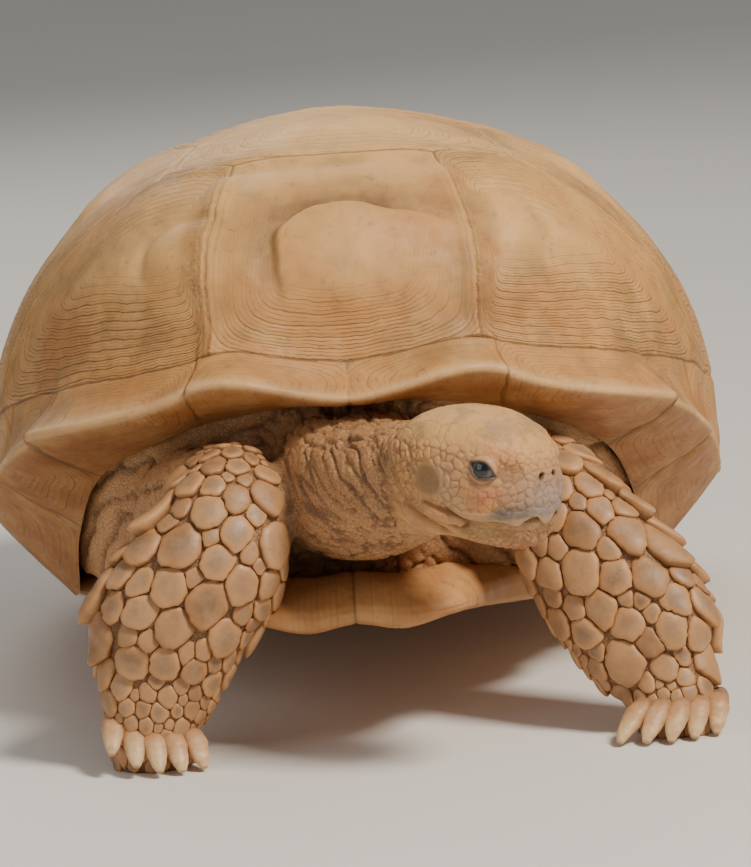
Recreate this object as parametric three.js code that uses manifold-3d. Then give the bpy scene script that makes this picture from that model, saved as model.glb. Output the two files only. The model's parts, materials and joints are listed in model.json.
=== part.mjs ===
// African spurred tortoise (Centrochelys sulcata), adult, standing on all four feet, life size.
// Millimetres, +Z up, the nose towards -Y, the animal's left at +X, the floor at z = 0.
import * as THREE from 'three';
import { mergeVertices } from 'three/addons/utils/BufferGeometryUtils.js';
import Module from 'manifold-3d';

const wasm = await Module();
wasm.setup();

// ---------------------------------------------------------------- driving dimensions
const gap = 0.3;             // clearance between neighbouring pieces
const shellPitch = 3;        // degrees the front of the shell is raised
const shellClearance = 50;   // floor to the plastron below the middle of the shell
const shellShift = -9;       // the tilted shell is carried this far forward
const shellThickness = 13;
const domeCentre = { y: -98, z: 326 };
const domePower = { front: 2.25, side: 2.13, rear: 2.05 };
const headCentre = [79, -440, 193];
const headYaw = 48;          // degrees the head looks to the animal's left
const headPitch = 5;         // degrees the snout drops
const eyeRadius = 11;
const eyePlace = { along: 29, across: 25.5, up: 12 };
const plastronAside = -5;    // the gular prow sits a little to the animal's right
const scoop = 15;            // rise of the prow's upper face behind its edge

// ---------------------------------------------------------------- materials
function finish(color, roughness) {
  return new THREE.MeshStandardMaterial({ color, roughness, metalness: 0 });
}
const materials = {
  shell: finish(0xb98a58, 0.6),
  skin: finish(0xa9774c, 0.8),
  horn: finish(0xc9a878, 0.45),
  eye: finish(0x241a14, 0.1),
};

// ---------------------------------------------------------------- mesh and solid helpers
// A closed skin over rings of points. A ring of one point is a pole.
function ringSkin(rings) {
  const points = [];
  const starts = rings.map((ring) => {
    const start = points.length / 3;
    ring.forEach((p) => points.push(p.x, p.y, p.z));
    return start;
  });
  const faces = [];
  for (let r = 0; r + 1 < rings.length; r += 1) {
    const [a, b] = [rings[r].length, rings[r + 1].length];
    const count = Math.max(a, b);
    for (let i = 0; i < count; i += 1) {
      const j = (i + 1) % count;
      if (a > 1) faces.push(starts[r] + i, starts[r] + j, starts[r + 1] + (b > 1 ? j : 0));
      if (b > 1) faces.push(starts[r] + (a > 1 ? i : 0), starts[r + 1] + j, starts[r + 1] + i);
    }
  }
  const geometry = new THREE.BufferGeometry();
  geometry.setAttribute('position', new THREE.Float32BufferAttribute(points, 3));
  geometry.setIndex(signedVolume(points, faces) < 0 ? faces.reverse() : faces);
  return geometry;
}

function signedVolume(points, faces) {
  const at = (i) => new THREE.Vector3().fromArray(points, 3 * i);
  let sum = 0;
  for (let f = 0; f < faces.length; f += 3) {
    sum += at(faces[f]).dot(at(faces[f + 1]).cross(at(faces[f + 2])));
  }
  return sum;
}

function toSolid(geometry) {
  const bare = geometry.clone();
  bare.deleteAttribute('normal');
  bare.deleteAttribute('uv');
  const merged = mergeVertices(bare, 1e-4);
  return new wasm.Manifold(new wasm.Mesh({
    numProp: 3,
    vertProperties: new Float32Array(merged.attributes.position.array),
    triVerts: new Uint32Array(merged.index.array),
  }));
}

// The largest connected piece of a solid, so that no loose shaving is left by a cut.
function toGeometry(body) {
  const mesh = body.getMesh();
  const owner = Array.from({ length: mesh.vertProperties.length / 3 }, (_, i) => i);
  const root = (i) => {
    while (owner[i] !== i) i = owner[i] = owner[owner[i]];
    return i;
  };
  for (let t = 0; t < mesh.triVerts.length; t += 3) {
    owner[root(mesh.triVerts[t])] = root(mesh.triVerts[t + 1]);
    owner[root(mesh.triVerts[t + 1])] = root(mesh.triVerts[t + 2]);
  }
  const groups = new Map();
  for (let t = 0; t < mesh.triVerts.length; t += 3) {
    const key = root(mesh.triVerts[t]);
    if (!groups.has(key)) groups.set(key, []);
    groups.get(key).push(mesh.triVerts[t], mesh.triVerts[t + 1], mesh.triVerts[t + 2]);
  }
  const size = (faces) => Math.abs(signedVolume(mesh.vertProperties, faces));
  const main = [...groups.values()].sort((a, b) => size(b) - size(a))[0];
  const geometry = new THREE.BufferGeometry();
  geometry.setAttribute('position', new THREE.Float32BufferAttribute(mesh.vertProperties, 3));
  geometry.setIndex(main);
  return mergeVertices(geometry.toNonIndexed(), 1e-4);
}

// The same closed skin with every face moved out by the gap, as a clearance cutter. Each
// vertex moves until it is a full gap beyond all of the faces that meet in it.
function around(geometry) {
  const wider = geometry.clone();
  const { position } = wider.attributes;
  const index = wider.index.array;
  const corner = (f, k) => new THREE.Vector3().fromBufferAttribute(position, index[f + k]);
  const faceNormals = Array.from({ length: position.count }, () => []);
  for (let f = 0; f < index.length; f += 3) {
    const normal = new THREE.Triangle(corner(f, 0), corner(f, 1), corner(f, 2))
      .getNormal(new THREE.Vector3());
    [0, 1, 2].forEach((k) => faceNormals[index[f + k]].push(normal));
  }
  faceNormals.forEach((normals, i) => {
    const move = new THREE.Vector3();
    for (let pass = 0; pass < 12; pass += 1) {
      normals.forEach((n) => move.addScaledVector(n, Math.max(0, 1.05 * gap - move.dot(n))));
    }
    move.clampLength(0, 9 * gap);
    move.add(new THREE.Vector3().fromBufferAttribute(position, i));
    position.setXYZ(i, move.x, move.y, move.z);
  });
  return toSolid(wider);
}

function cut(body, ...tools) {
  return tools.reduce((left, tool) => left.subtract(tool), body);
}

const vec = (p) => new THREE.Vector3(...p);
const turn = (degrees) => THREE.MathUtils.degToRad(degrees);
const signedPower = (value, power) => Math.sign(value) * Math.abs(value) ** power;
const smooth = (from, to, value) => THREE.MathUtils.smoothstep(value, from, to);
const bell = (distance, width) => Math.exp(-((distance / width) ** 2));

// Stations are [x, y, z, width, depth]. `front` is the direction that depth is measured in.
function loft(stations, { front, sides = 12, steps = 6, power = 2.3, cap = 0.3 }) {
  const path = new THREE.CatmullRomCurve3(stations.map((s) => vec(s.slice(0, 3))));
  const sizes = new THREE.CatmullRomCurve3(stations.map((s) => new THREE.Vector3(s[3], s[4], 0)));
  const ring = (t, shift, scale) => {
    const along = path.getTangent(t);
    const across = new THREE.Vector3().crossVectors(along, front).normalize();
    const deep = new THREE.Vector3().crossVectors(across, along).normalize();
    const size = sizes.getPoint(t);
    const centre = path.getPoint(t).addScaledVector(along, shift * size.y);
    return Array.from({ length: sides }, (_, i) => {
      const angle = (2 * Math.PI * i) / sides;
      const a = signedPower(Math.cos(angle), 2 / power) * (size.x / 2) * scale;
      const b = signedPower(Math.sin(angle), 2 / power) * (size.y / 2) * scale;
      return centre.clone().addScaledVector(across, a).addScaledVector(deep, b);
    });
  };
  const pole = (t, shift) => {
    const points = ring(t, shift, 0);
    return [points[0]];
  };
  const rings = [pole(0, -cap), ring(0, -cap * 0.7, 0.7)];
  for (let i = 0; i <= steps; i += 1) rings.push(ring(i / steps, 0, 1));
  rings.push(ring(1, cap * 0.7, 0.7), pole(1, cap));
  return ringSkin(rings);
}

function block(size, at, rotation = [0, 0, 0]) {
  const box = new THREE.BoxGeometry(...size);
  box.applyMatrix4(new THREE.Matrix4().makeRotationFromEuler(new THREE.Euler(...rotation)));
  return toSolid(box.translate(...at));
}

const floor = block([3000, 3000, 200], [0, 0, -100]);

// ---------------------------------------------------------------- shell
// Half of the shell seen from above, front to rear: the marginal edge, the edge of the body
// opening below it, and how far in and up from the marginal edge the dome begins.
const rimStations = [
  { edge: [0, -336, 160], opening: [0, -290, 153], inset: 34, rise: 27 },
  { edge: [85, -337, 175], opening: [80, -281, 147], inset: 36, rise: 22 },
  { edge: [135, -318, 160], opening: [124, -262, 133], inset: 36, rise: 28 },
  { edge: [217, -250, 135], opening: [172, -215, 105], inset: 38, rise: 34 },
  { edge: [249, -150, 96], opening: [192, -172, 60], inset: 12, rise: 34 },
  { edge: [256, -90, 70], opening: [198, -125, 14], inset: 2, rise: 32 },
  { edge: [262, 10, 54], opening: [212, -20, 3], inset: -1, rise: 34 },
  { edge: [261, 110, 52], opening: [208, 110, 3], inset: -1, rise: 34 },
  { edge: [243, 225, 55], opening: [178, 172, 30], inset: 8, rise: 32 },
  { edge: [184, 305, 58], opening: [150, 262, 62], inset: 20, rise: 30 },
  { edge: [92, 343, 50], opening: [80, 298, 62], inset: 26, rise: 30 },
  { edge: [0, 352, 42], opening: [0, 306, 58], inset: 26, rise: 32 },
];
// Raised centres of the scutes: five vertebrals on the midline, four costals on each side.
const vertebrals = [-272, -134, 2, 128, 240];
const costals = [[115, -200], [158, -62], [158, 72], [138, 190]];
const areola = { vertebral: 8, costal: 6, width: 42 };
const shellSides = 44;
const trunkSides = 20;
const innerSteps = [0.97, 0.72, 0.38]; // rings of the inner surface, rim to crown

function closedRing(points, count) {
  const mirrored = points.slice(1, -1).reverse().map((p) => new THREE.Vector3(-p.x, p.y, p.z));
  const curve = new THREE.CatmullRomCurve3([...points, ...mirrored], true, 'centripetal');
  return Array.from({ length: count }, (_, i) => curve.getPoint(i / count));
}

function rimRings(count) {
  const edge = closedRing(rimStations.map((s) => vec(s.edge)), count);
  const opening = closedRing(rimStations.map((s) => vec(s.opening)), count);
  const begins = closedRing(rimStations.map((s) => new THREE.Vector3(0, s.inset, s.rise)), count);
  const base = edge.map((p, i) => {
    const inward = new THREE.Vector3(-p.x, -p.y, 0).normalize();
    return p.clone().addScaledVector(inward, begins[i].y).add(new THREE.Vector3(0, 0, begins[i].z));
  });
  return { edge, opening, base };
}

function scuteRelief(x, y) {
  const bump = (cx, cy) => bell(Math.hypot(Math.abs(x) - cx, y - cy), areola.width);
  const ridge = vertebrals.reduce((sum, cy) => sum + bump(0, cy), 0) * areola.vertebral;
  return ridge + costals.reduce((sum, c) => sum + bump(...c), 0) * areola.costal;
}

// A point of the dome: v runs from 0 at the crown to 1 where the marginals begin.
function domePoint(base, v, inward) {
  const { y, z } = domeCentre;
  const side = Math.abs(base.x) / 262;
  const along = base.y < y ? domePower.front : domePower.rear;
  const power = THREE.MathUtils.lerp(along, domePower.side, side ** 2);
  const out = Math.sin((v * Math.PI) / 2) ** (2 / power);
  const up = Math.cos((v * Math.PI) / 2) ** (2 / power);
  const p = new THREE.Vector3(base.x * out, y + (base.y - y) * out, base.z + (z - base.z) * up);
  const centre = new THREE.Vector3(0, p.y * 0.35, 70);
  const outward = p.clone().sub(centre).normalize();
  return p.addScaledVector(outward, (inward ? 0 : scuteRelief(p.x, p.y)) - inward);
}

function carapaceSkin() {
  const { edge, opening, base } = rimRings(shellSides);
  const outer = [0.1, 0.2, 0.3, 0.4, 0.5, 0.6, 0.69, 0.78, 0.86, 0.93, 1];
  const between = (a, b, t, sag) => a.map((p, i) => {
    const q = p.clone().lerp(b[i], t);
    const inward = new THREE.Vector3(-q.x, -q.y, 0).normalize();
    const flare = smooth(60, 240, -q.y) + 0.6 * smooth(200, 300, q.y) - 0.35;
    return q.addScaledVector(inward, sag * flare);
  });
  const lift = (ring, dz) => ring.map((p) => p.clone().add(new THREE.Vector3(0, 0, dz)));
  const rings = [[new THREE.Vector3(0, domeCentre.y, domeCentre.z)]];
  outer.forEach((v) => rings.push(base.map((b) => domePoint(b, v, 0))));
  rings.push(between(base, edge, 0.5, 8));
  rings.push(between(lift(edge, 4), opening, -0.02, 0));
  rings.push(between(lift(edge, -3), opening, 0.03, 0));
  rings.push(lift(between(edge, opening, 0.45, 0), -2));
  rings.push(opening);
  innerSteps.forEach((v) => rings.push(base.map((b) => domePoint(b, v, shellThickness))));
  rings.push([new THREE.Vector3(0, domeCentre.y, domeCentre.z - shellThickness)]);
  return setShell(ringSkin(rings));
}

function setShell(geometry) {
  geometry.rotateX(turn(-shellPitch));
  return geometry.translate(0, shellShift, shellClearance);
}

// Half of the plastron's outline, front to rear: x, y, underside, top.
const plastronStations = [
  [0, -356, 12, 30],
  [34, -365, 9, 28],
  [66, -356, 15, 30],
  [82, -318, 12, 30],
  [112, -262, 6, 30],
  [150, -215, 3, 26],
  [160, -160, 2, 20],
  [188, -112, 2, 22],
  [212, -50, -2, 20],
  [218, 80, -5, 20],
  [204, 128, 0, 24],
  [152, 168, 2, 20],
  [134, 226, 2, 18],
  [70, 292, 4, 22],
  [0, 264, 3, 18],
];

function plastronSkin() {
  const count = 44;
  const lower = closedRing(plastronStations.map((s) => new THREE.Vector3(s[0], s[1], s[2])), count);
  const upper = closedRing(plastronStations.map((s) => new THREE.Vector3(s[0], s[1], s[3])), count);
  const ring = (source, scale, level, blend) => source.map((p) => {
    const q = new THREE.Vector3(p.x * scale, (p.y + 30) * scale - 30, p.z + level);
    q.z = THREE.MathUtils.lerp(q.z, source === lower ? 3 : 15, blend);
    if (source === upper) q.z += scoop * smooth(215, 300, -q.y) * (1 - scale) / 0.14;
    return q;
  });
  const rings = [
    [new THREE.Vector3(0, -30, 3)],
    ring(lower, 0.5, 0, 0.8),
    ring(lower, 0.95, 0, 0),
    ring(lower, 1, 5, 0),
    ring(upper, 1, -6, 0),
    ring(upper, 0.93, 0, 0),
    ring(upper, 0.86, 0, 0),
    ring(upper, 0.5, 0, 0.8),
    [new THREE.Vector3(0, -30, 15)],
  ];
  return setShell(ringSkin(rings)).translate(plastronAside, 0, 0);
}

// The trunk fills the shell and shows as skin in the front and rear openings.
function trunkSkin() {
  const { opening, base } = rimRings(trunkSides);
  const inside = shellThickness + 2;
  const level = (scale, lowest, keep) => opening.map((p) => new THREE.Vector3(
    p.x * scale,
    p.y * scale,
    Math.max(lowest, THREE.MathUtils.lerp(lowest, p.z, keep)),
  ));
  const rings = [[new THREE.Vector3(0, domeCentre.y, domeCentre.z - inside)]];
  innerSteps.toReversed().forEach((v) => rings.push(base.map((b) => domePoint(b, v, inside))));
  rings.push(level(0.972, 24, 1), level(0.955, 32, 0.4), level(0.88, 18, 0), level(0.72, 27, 0));
  rings.push([new THREE.Vector3(0, 0, 27)]);
  return setShell(ringSkin(rings));
}

// ---------------------------------------------------------------- head and neck
const up = new THREE.Vector3(0, 0, 1);
const ahead = new THREE.Vector3(0, -1, 0);

const neckStations = [
  [0, -225, 160, 134, 104],
  [2, -290, 164, 124, 104],
  [14, -345, 169, 108, 92],
  [36, -388, 181, 92, 80],
  [58, -418, 190, 82, 74],
];

// Head sections from the nape to the beak: distance along, half width, top, bottom.
const headSections = [
  [-50, 36, 27, -27],
  [-36, 42, 37, -37],
  [-14, 45, 42, -40],
  [8, 43, 43, -41],
  [26, 38, 39, -42],
  [40, 31, 32, -42],
  [49, 25, 25, -38],
  [54, 17, 16, -30],
];

function setHead(geometry) {
  geometry.rotateY(turn(headPitch));
  geometry.rotateZ(turn(headYaw - 90));
  return geometry.translate(...headCentre);
}

// The head is built with its nose along +X, its left along +Y, and then turned and placed.
function headSkin() {
  const sides = 16;
  const curve = new THREE.CatmullRomCurve3(headSections.map((s) => vec([s[0], s[1], 0])));
  const heights = new THREE.CatmullRomCurve3(headSections.map((s) => vec([s[2], s[3], 0])));
  const section = (t, shift, scale) => {
    const place = curve.getPoint(t);
    const height = heights.getPoint(t);
    return Array.from({ length: sides }, (_, i) => {
      const angle = (2 * Math.PI * i) / sides;
      const across = signedPower(Math.cos(angle), 2 / 2.4) * place.y * scale;
      const reach = Math.sin(angle) > 0 ? height.x : -height.y;
      const lift = signedPower(Math.sin(angle), 2 / 2.4) * reach * scale;
      const middle = (1 - scale) * (height.x + height.y) * 0.5;
      return new THREE.Vector3(place.x + shift, across, lift + middle);
    });
  };
  const end = (t, shift) => {
    const height = heights.getPoint(t);
    return [new THREE.Vector3(curve.getPoint(t).x + shift, 0, (height.x + height.y) * 0.5)];
  };
  const rings = [end(0, -8), section(0, -6, 0.7)];
  const steps = 9;
  for (let i = 0; i <= steps; i += 1) rings.push(section(i / steps, 0, 1));
  rings.push(section(1, 2.5, 0.65), end(1, 4));
  return setHead(ringSkin(rings));
}

// A profile in the head's own side view, extruded right through the head.
function headProfile(points, halfWidth) {
  const shape = new THREE.Shape(points.map((p) => new THREE.Vector2(p[0], p[1])));
  const geometry = new THREE.ExtrudeGeometry(shape, { depth: 2 * halfWidth, bevelEnabled: false });
  geometry.translate(0, 0, -halfWidth);
  geometry.rotateX(Math.PI / 2);
  return toSolid(setHead(geometry));
}

function mouthCutter(clearance) {
  return headProfile([
    [8 - clearance, -15 + clearance],
    [22, -18.5 + clearance],
    [36, -23 + clearance],
    [43, -15 + clearance],
    [75, -13 + clearance],
    [75, -75],
    [-6 - clearance, -75],
    [-2 - clearance, -30],
  ], 65);
}

function beakCutter(clearance) {
  return headProfile([
    [30 - clearance, -60],
    [30 - clearance, -11 + clearance],
    [44 - clearance, -5 + clearance],
    [51 - clearance, 3 + clearance],
    [75, 5 + clearance],
    [75, -60],
  ], 65);
}

function eyeBall(side, clearance) {
  const ball = new THREE.SphereGeometry(eyeRadius + clearance, 10, 7);
  ball.translate(eyePlace.along, side * eyePlace.across, eyePlace.up);
  return toSolid(setHead(ball));
}

// ---------------------------------------------------------------- legs and tail
// Stations are [x, y, z, width, depth]; a leg is listed from the body to the floor.
const foreLegs = {
  right: {
    upper: [[-108, -200, 138, 96, 92], [-104, -260, 150, 92, 90], [-88, -312, 158, 84, 82]],
    fore: [
      [-76, -318, 184, 52, 48],
      [-82, -336, 160, 86, 68],
      [-95, -350, 128, 104, 72],
      [-122, -360, 98, 108, 64],
      [-133, -364, 76, 102, 60],
    ],
    hand: [
      [-131, -358, 84, 92, 54],
      [-136, -362, 50, 86, 56],
      [-142, -364, 24, 64, 58],
      [-141, -364, -8, 56, 58],
    ],
    claws: { from: [-166, -373], to: [-116, -381], bulge: 9, aim: [0.2, -1], lift: 13 },
  },
  left: {
    upper: [[108, -200, 138, 96, 92], [114, -252, 146, 92, 92], [126, -292, 146, 84, 86]],
    fore: [
      [116, -290, 164, 56, 58],
      [130, -306, 142, 84, 76],
      [149, -322, 114, 94, 74],
      [176, -342, 76, 102, 64],
      [193, -352, 50, 96, 56],
    ],
    hand: [
      [188, -344, 58, 84, 50],
      [197, -356, 32, 66, 54],
      [200, -362, 14, 60, 56],
      [201, -362, -8, 58, 56],
    ],
    claws: { from: [177, -381], to: [227, -375], bulge: 8, aim: [-0.4, -0.92], lift: 0 },
  },
};

const hindLegs = {
  right: {
    thigh: [[-96, 176, 104, 108, 110], [-132, 208, 96, 100, 112], [-158, 228, 84, 90, 104]],
    shank: [
      [-146, 220, 96, 92, 96],
      [-162, 232, 66, 88, 92],
      [-166, 238, 34, 78, 82],
      [-167, 238, 12, 90, 94],
      [-167, 238, -8, 88, 92],
    ],
    claws: { from: [-204, 216], to: [-146, 190], bulge: 9, aim: [-0.5, -1], lift: 0 },
  },
  left: {
    thigh: [[96, 168, 104, 108, 110], [134, 186, 96, 100, 112], [164, 196, 84, 90, 104]],
    shank: [
      [152, 190, 96, 92, 96],
      [168, 198, 66, 88, 92],
      [174, 202, 34, 78, 82],
      [175, 202, 12, 90, 94],
      [175, 202, -8, 88, 92],
    ],
    claws: { from: [212, 180], to: [154, 154], bulge: 9, aim: [0.5, -1], lift: 0 },
  },
};

const tailStations = [
  [0, 244, 80, 60, 44],
  [1, 284, 72, 48, 36],
  [5, 312, 56, 34, 26],
  [10, 326, 34, 15, 13],
];

const clawShape = { length: 25, width: 12.4, depth: 11, root: 11 };

// Claws stand along a shallow arc at the front of the foot and bend down to the floor. The
// first one is lifted, with the outer edge of a foot that rolls inwards.
function clawSkins({ from, to, bulge, aim, lift }, count) {
  const forward = new THREE.Vector3(aim[0], aim[1], 0).normalize();
  return Array.from({ length: count }, (_, i) => {
    const t = i / (count - 1);
    const fan = (t - 0.5) * 0.5;
    const direction = forward.clone().applyAxisAngle(up, fan * Math.sign(to[0] - from[0]));
    const root = new THREE.Vector3(
      THREE.MathUtils.lerp(from[0], to[0], t),
      THREE.MathUtils.lerp(from[1], to[1], t) - bulge * Math.sin(Math.PI * t),
      16,
    );
    const raised = lift * (1 - t) ** 3;
    const at = (d, z) => root.clone().addScaledVector(direction, d).setZ(z + raised).toArray();
    const { length, width, depth, root: inside } = clawShape;
    const stations = [
      [...at(-inside, 21), width * 0.9, depth],
      [...at(0, 17), width, depth],
      [...at(length * 0.55, 9.5), width * 0.8, depth * 0.75],
      [...at(length, 4), width * 0.3, depth * 0.32],
    ];
    return toSolid(loft(stations, { front: up, sides: 6, steps: 2, power: 2, cap: 0.25 }));
  });
}

function limb(stations, steps) {
  return loft(stations, { front: ahead, steps });
}

// ---------------------------------------------------------------- assembly
const tortoise = new THREE.Group();

function addPart(name, body, material) {
  const mesh = new THREE.Mesh(toGeometry(body), materials[material]);
  mesh.name = name;
  tortoise.add(mesh);
}

const carapace = carapaceSkin();
const plastron = plastronSkin();
const aroundShell = [around(carapace), around(plastron), toSolid(carapace)];
addPart('carapace', toSolid(carapace), 'shell');
addPart('plastron', cut(toSolid(plastron), aroundShell[0], aroundShell[2]), 'shell');

const eyes = { right: -1, left: 1 };
const headForm = headSkin();
const wholeHead = cut(
  toSolid(headForm),
  ...Object.values(eyes).map((side) => eyeBall(side, gap)),
);
Object.entries(eyes).forEach(([name, side]) => addPart(`eye_${name}`, eyeBall(side, 0), 'eye'));
addPart('lower_jaw', wholeHead.intersect(mouthCutter(0)), 'skin');
const upperHead = cut(wholeHead, mouthCutter(gap));
addPart('beak', upperHead.intersect(beakCutter(0)), 'horn');
addPart('head', cut(upperHead, beakCutter(gap)), 'skin');

const legSpace = [];
Object.entries(foreLegs).forEach(([side, leg]) => {
  const upper = limb(leg.upper, 3);
  const fore = limb(leg.fore, 7);
  const hand = limb(leg.hand, 5);
  addPart(`foreleg_${side}_upper`, cut(toSolid(upper), around(fore)), 'skin');
  addPart(`foreleg_${side}_lower`, cut(toSolid(fore), around(plastron)), 'skin');
  addPart(`forefoot_${side}`, cut(toSolid(hand), around(fore), floor), 'skin');
  clawSkins(leg.claws, 5).forEach((claw, i) => {
    addPart(`foreclaw_${side}_${i + 1}`, cut(claw, around(hand), floor), 'horn');
  });
  legSpace.push(around(upper), around(fore));
});

Object.entries(hindLegs).forEach(([side, leg]) => {
  const thigh = limb(leg.thigh, 3);
  const shank = limb(leg.shank, 8);
  addPart(`hindleg_${side}_thigh`, cut(toSolid(thigh), around(shank), ...aroundShell), 'skin');
  addPart(`hindleg_${side}_shank`, cut(toSolid(shank), floor, ...aroundShell), 'skin');
  clawSkins(leg.claws, 4).forEach((claw, i) => {
    addPart(`hindclaw_${side}_${i + 1}`, cut(claw, around(shank), floor), 'horn');
  });
  legSpace.push(around(thigh), around(shank));
});

const neck = loft(neckStations, { front: up, sides: 14, steps: 5, power: 2.2 });
addPart('neck', cut(toSolid(neck), around(headForm), ...legSpace), 'skin');

const tail = loft(tailStations, { front: up, sides: 10, steps: 5 });
addPart('tail', cut(toSolid(tail), ...aroundShell), 'skin');

const trunkSpace = [...aroundShell, ...legSpace, around(neck), around(tail)];
addPart('trunk', cut(toSolid(trunkSkin()), ...trunkSpace), 'skin');

// The origin is the floor point below the middle of the animal's box.
const extent = new THREE.Box3().setFromObject(tortoise);
const middle = extent.getCenter(new THREE.Vector3());
tortoise.position.set(-middle.x, -middle.y, -extent.min.z);

const model = new THREE.Group();
model.name = 'sulcata_tortoise';
model.add(tortoise);

export default model;
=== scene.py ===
# African spurred tortoise (Centrochelys sulcata), adult, standing, life size.
# Shapes are worked out in millimetres in the animal's own design frame (nose towards -Y, left
# at +X, floor at z = 0) and go into the scene in metres through to_scene().
import json
import math

import bmesh
import bpy
import numpy as np
from mathutils import Matrix, Vector
from mathutils.bvhtree import BVHTree

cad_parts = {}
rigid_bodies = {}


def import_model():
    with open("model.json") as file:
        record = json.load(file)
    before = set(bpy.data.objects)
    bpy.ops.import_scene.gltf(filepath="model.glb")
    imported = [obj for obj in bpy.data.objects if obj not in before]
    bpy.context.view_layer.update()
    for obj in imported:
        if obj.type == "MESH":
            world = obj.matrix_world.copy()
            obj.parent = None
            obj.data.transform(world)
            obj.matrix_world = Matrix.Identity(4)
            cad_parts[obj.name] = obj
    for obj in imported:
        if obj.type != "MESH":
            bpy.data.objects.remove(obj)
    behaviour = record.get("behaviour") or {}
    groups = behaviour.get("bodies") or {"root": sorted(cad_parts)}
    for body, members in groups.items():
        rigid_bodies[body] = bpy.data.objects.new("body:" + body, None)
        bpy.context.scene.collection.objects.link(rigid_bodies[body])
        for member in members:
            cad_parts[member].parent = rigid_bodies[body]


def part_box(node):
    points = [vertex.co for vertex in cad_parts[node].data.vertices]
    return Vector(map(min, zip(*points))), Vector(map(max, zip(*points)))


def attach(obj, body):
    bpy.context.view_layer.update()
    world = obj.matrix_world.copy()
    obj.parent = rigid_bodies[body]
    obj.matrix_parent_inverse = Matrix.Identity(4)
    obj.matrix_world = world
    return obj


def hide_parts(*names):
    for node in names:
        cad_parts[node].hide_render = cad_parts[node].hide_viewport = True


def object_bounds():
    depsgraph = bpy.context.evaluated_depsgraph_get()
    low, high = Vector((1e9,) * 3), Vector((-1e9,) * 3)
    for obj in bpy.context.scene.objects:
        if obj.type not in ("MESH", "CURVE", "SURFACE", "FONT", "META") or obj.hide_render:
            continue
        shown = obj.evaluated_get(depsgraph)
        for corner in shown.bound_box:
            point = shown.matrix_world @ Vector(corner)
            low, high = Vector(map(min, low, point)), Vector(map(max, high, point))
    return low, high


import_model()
cad_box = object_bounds()
CAD_MESHES = {obj.data.name for obj in bpy.data.objects if obj.type == "MESH"}

# ------------------------------------------------------------------ driving dimensions
# Millimetres and degrees.
SHELL_PITCH = 3.0
SHELL_RAISED = 50.0
SHELL_FORWARD = -9.0
DOME_Y, DOME_Z = -98.0, 326.0
HALF_WIDTH = 262
DOME_POWER = {"front": 2.25, "side": 2.13, "rear": 2.05}
PLASTRON_ASIDE = -5.0
HEAD_CENTRE = np.array([79.0, -440.0, 193.0])
HEAD_YAW, HEAD_PITCH = 48.0, 5.0
EYE_CENTRE = np.array([29.0, 25.5, 12.0])
EYE_RADIUS = 10.6


# ------------------------------------------------------------------ small maths
def smooth(low, high, value):
    t = np.clip((value - low) / (high - low), 0, 1)
    return t * t * (3 - 2 * t)


def bell(distance, width):
    return np.exp(-((distance / width) ** 2))


def mix(a, b, t):
    return a + (b - a) * t


def unit(v):
    v = np.asarray(v, float)
    return v / np.maximum(np.linalg.norm(v, axis=-1, keepdims=True), 1e-9)


def signed_power(value, power):
    return np.sign(value) * np.abs(value) ** power


def spline(points, t, closed=False):
    """Centripetal Catmull-Rom curve through the points, read at t from 0 to 1."""
    p = np.asarray(points, float)
    t = np.asarray(t, float)
    if closed:
        p = np.vstack([p[-1:], p, p[:2]])
        spans = len(points)
        t = t % 1.0
    else:
        p = np.vstack([2 * p[:1] - p[1:2], p, 2 * p[-1:] - p[-2:-1]])
        spans = len(points) - 1
        t = np.clip(t, 0, 1)
    first = np.minimum((t * spans).astype(int), spans - 1)
    w = (t * spans - first)[..., None]
    p0, p1, p2, p3 = (p[first + k] for k in range(4))
    steps = [np.linalg.norm(b - a, axis=-1)[..., None] ** 0.5
             for a, b in ((p0, p1), (p1, p2), (p2, p3))]
    d1 = np.where(steps[1] < 1e-4, 1.0, steps[1])
    d0 = np.where(steps[0] < 1e-4, d1, steps[0])
    d2 = np.where(steps[2] < 1e-4, d1, steps[2])
    m1 = ((p1 - p0) / d0 - (p2 - p0) / (d0 + d1) + (p2 - p1) / d1) * d1
    m2 = ((p2 - p1) / d1 - (p3 - p1) / (d1 + d2) + (p3 - p2) / d2) * d1
    return p1 + m1 * w + (3 * (p2 - p1) - 2 * m1 - m2) * w ** 2 + (2 * (p1 - p2) + m1 + m2) * w ** 3


def turn(points, axis, degrees):
    m = np.array(Matrix.Rotation(math.radians(degrees), 3, axis))
    return np.asarray(points, float) @ m.T


# ------------------------------------------------------------------ repeatable noise
def hashed(ix, iy, iz, seed):
    h = (ix * 374761393 + iy * 668265263 + iz * 2147483629 + seed * 362437) & 0xFFFFFFFF
    h = ((h ^ (h >> 13)) * 1274126177) & 0xFFFFFFFF
    h = ((h ^ (h >> 15)) * 2246822519) & 0xFFFFFFFF
    return ((h ^ (h >> 16)) & 0xFFFFFF) / 0xFFFFFF


def noise(points, size, seed=0):
    """Smooth value noise from -1 to 1, with features of about `size`."""
    p = np.asarray(points, float) / size
    cell = np.floor(p).astype(np.int64)
    f = p - cell
    f = f * f * (3 - 2 * f)
    total = 0.0
    for dx in (0, 1):
        for dy in (0, 1):
            for dz in (0, 1):
                weight = (np.abs(1 - dx - f[..., 0]) * np.abs(1 - dy - f[..., 1])
                          * np.abs(1 - dz - f[..., 2]))
                total = total + weight * hashed(cell[..., 0] + dx, cell[..., 1] + dy,
                                                cell[..., 2] + dz, seed)
    return total * 2 - 1


def layers(points, size, seed=0, octaves=3):
    total = sum(noise(points, size / 2 ** k, seed + 17 * k) / 2 ** k for k in range(octaves))
    return total / (2 - 2.0 ** (1 - octaves))


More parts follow.
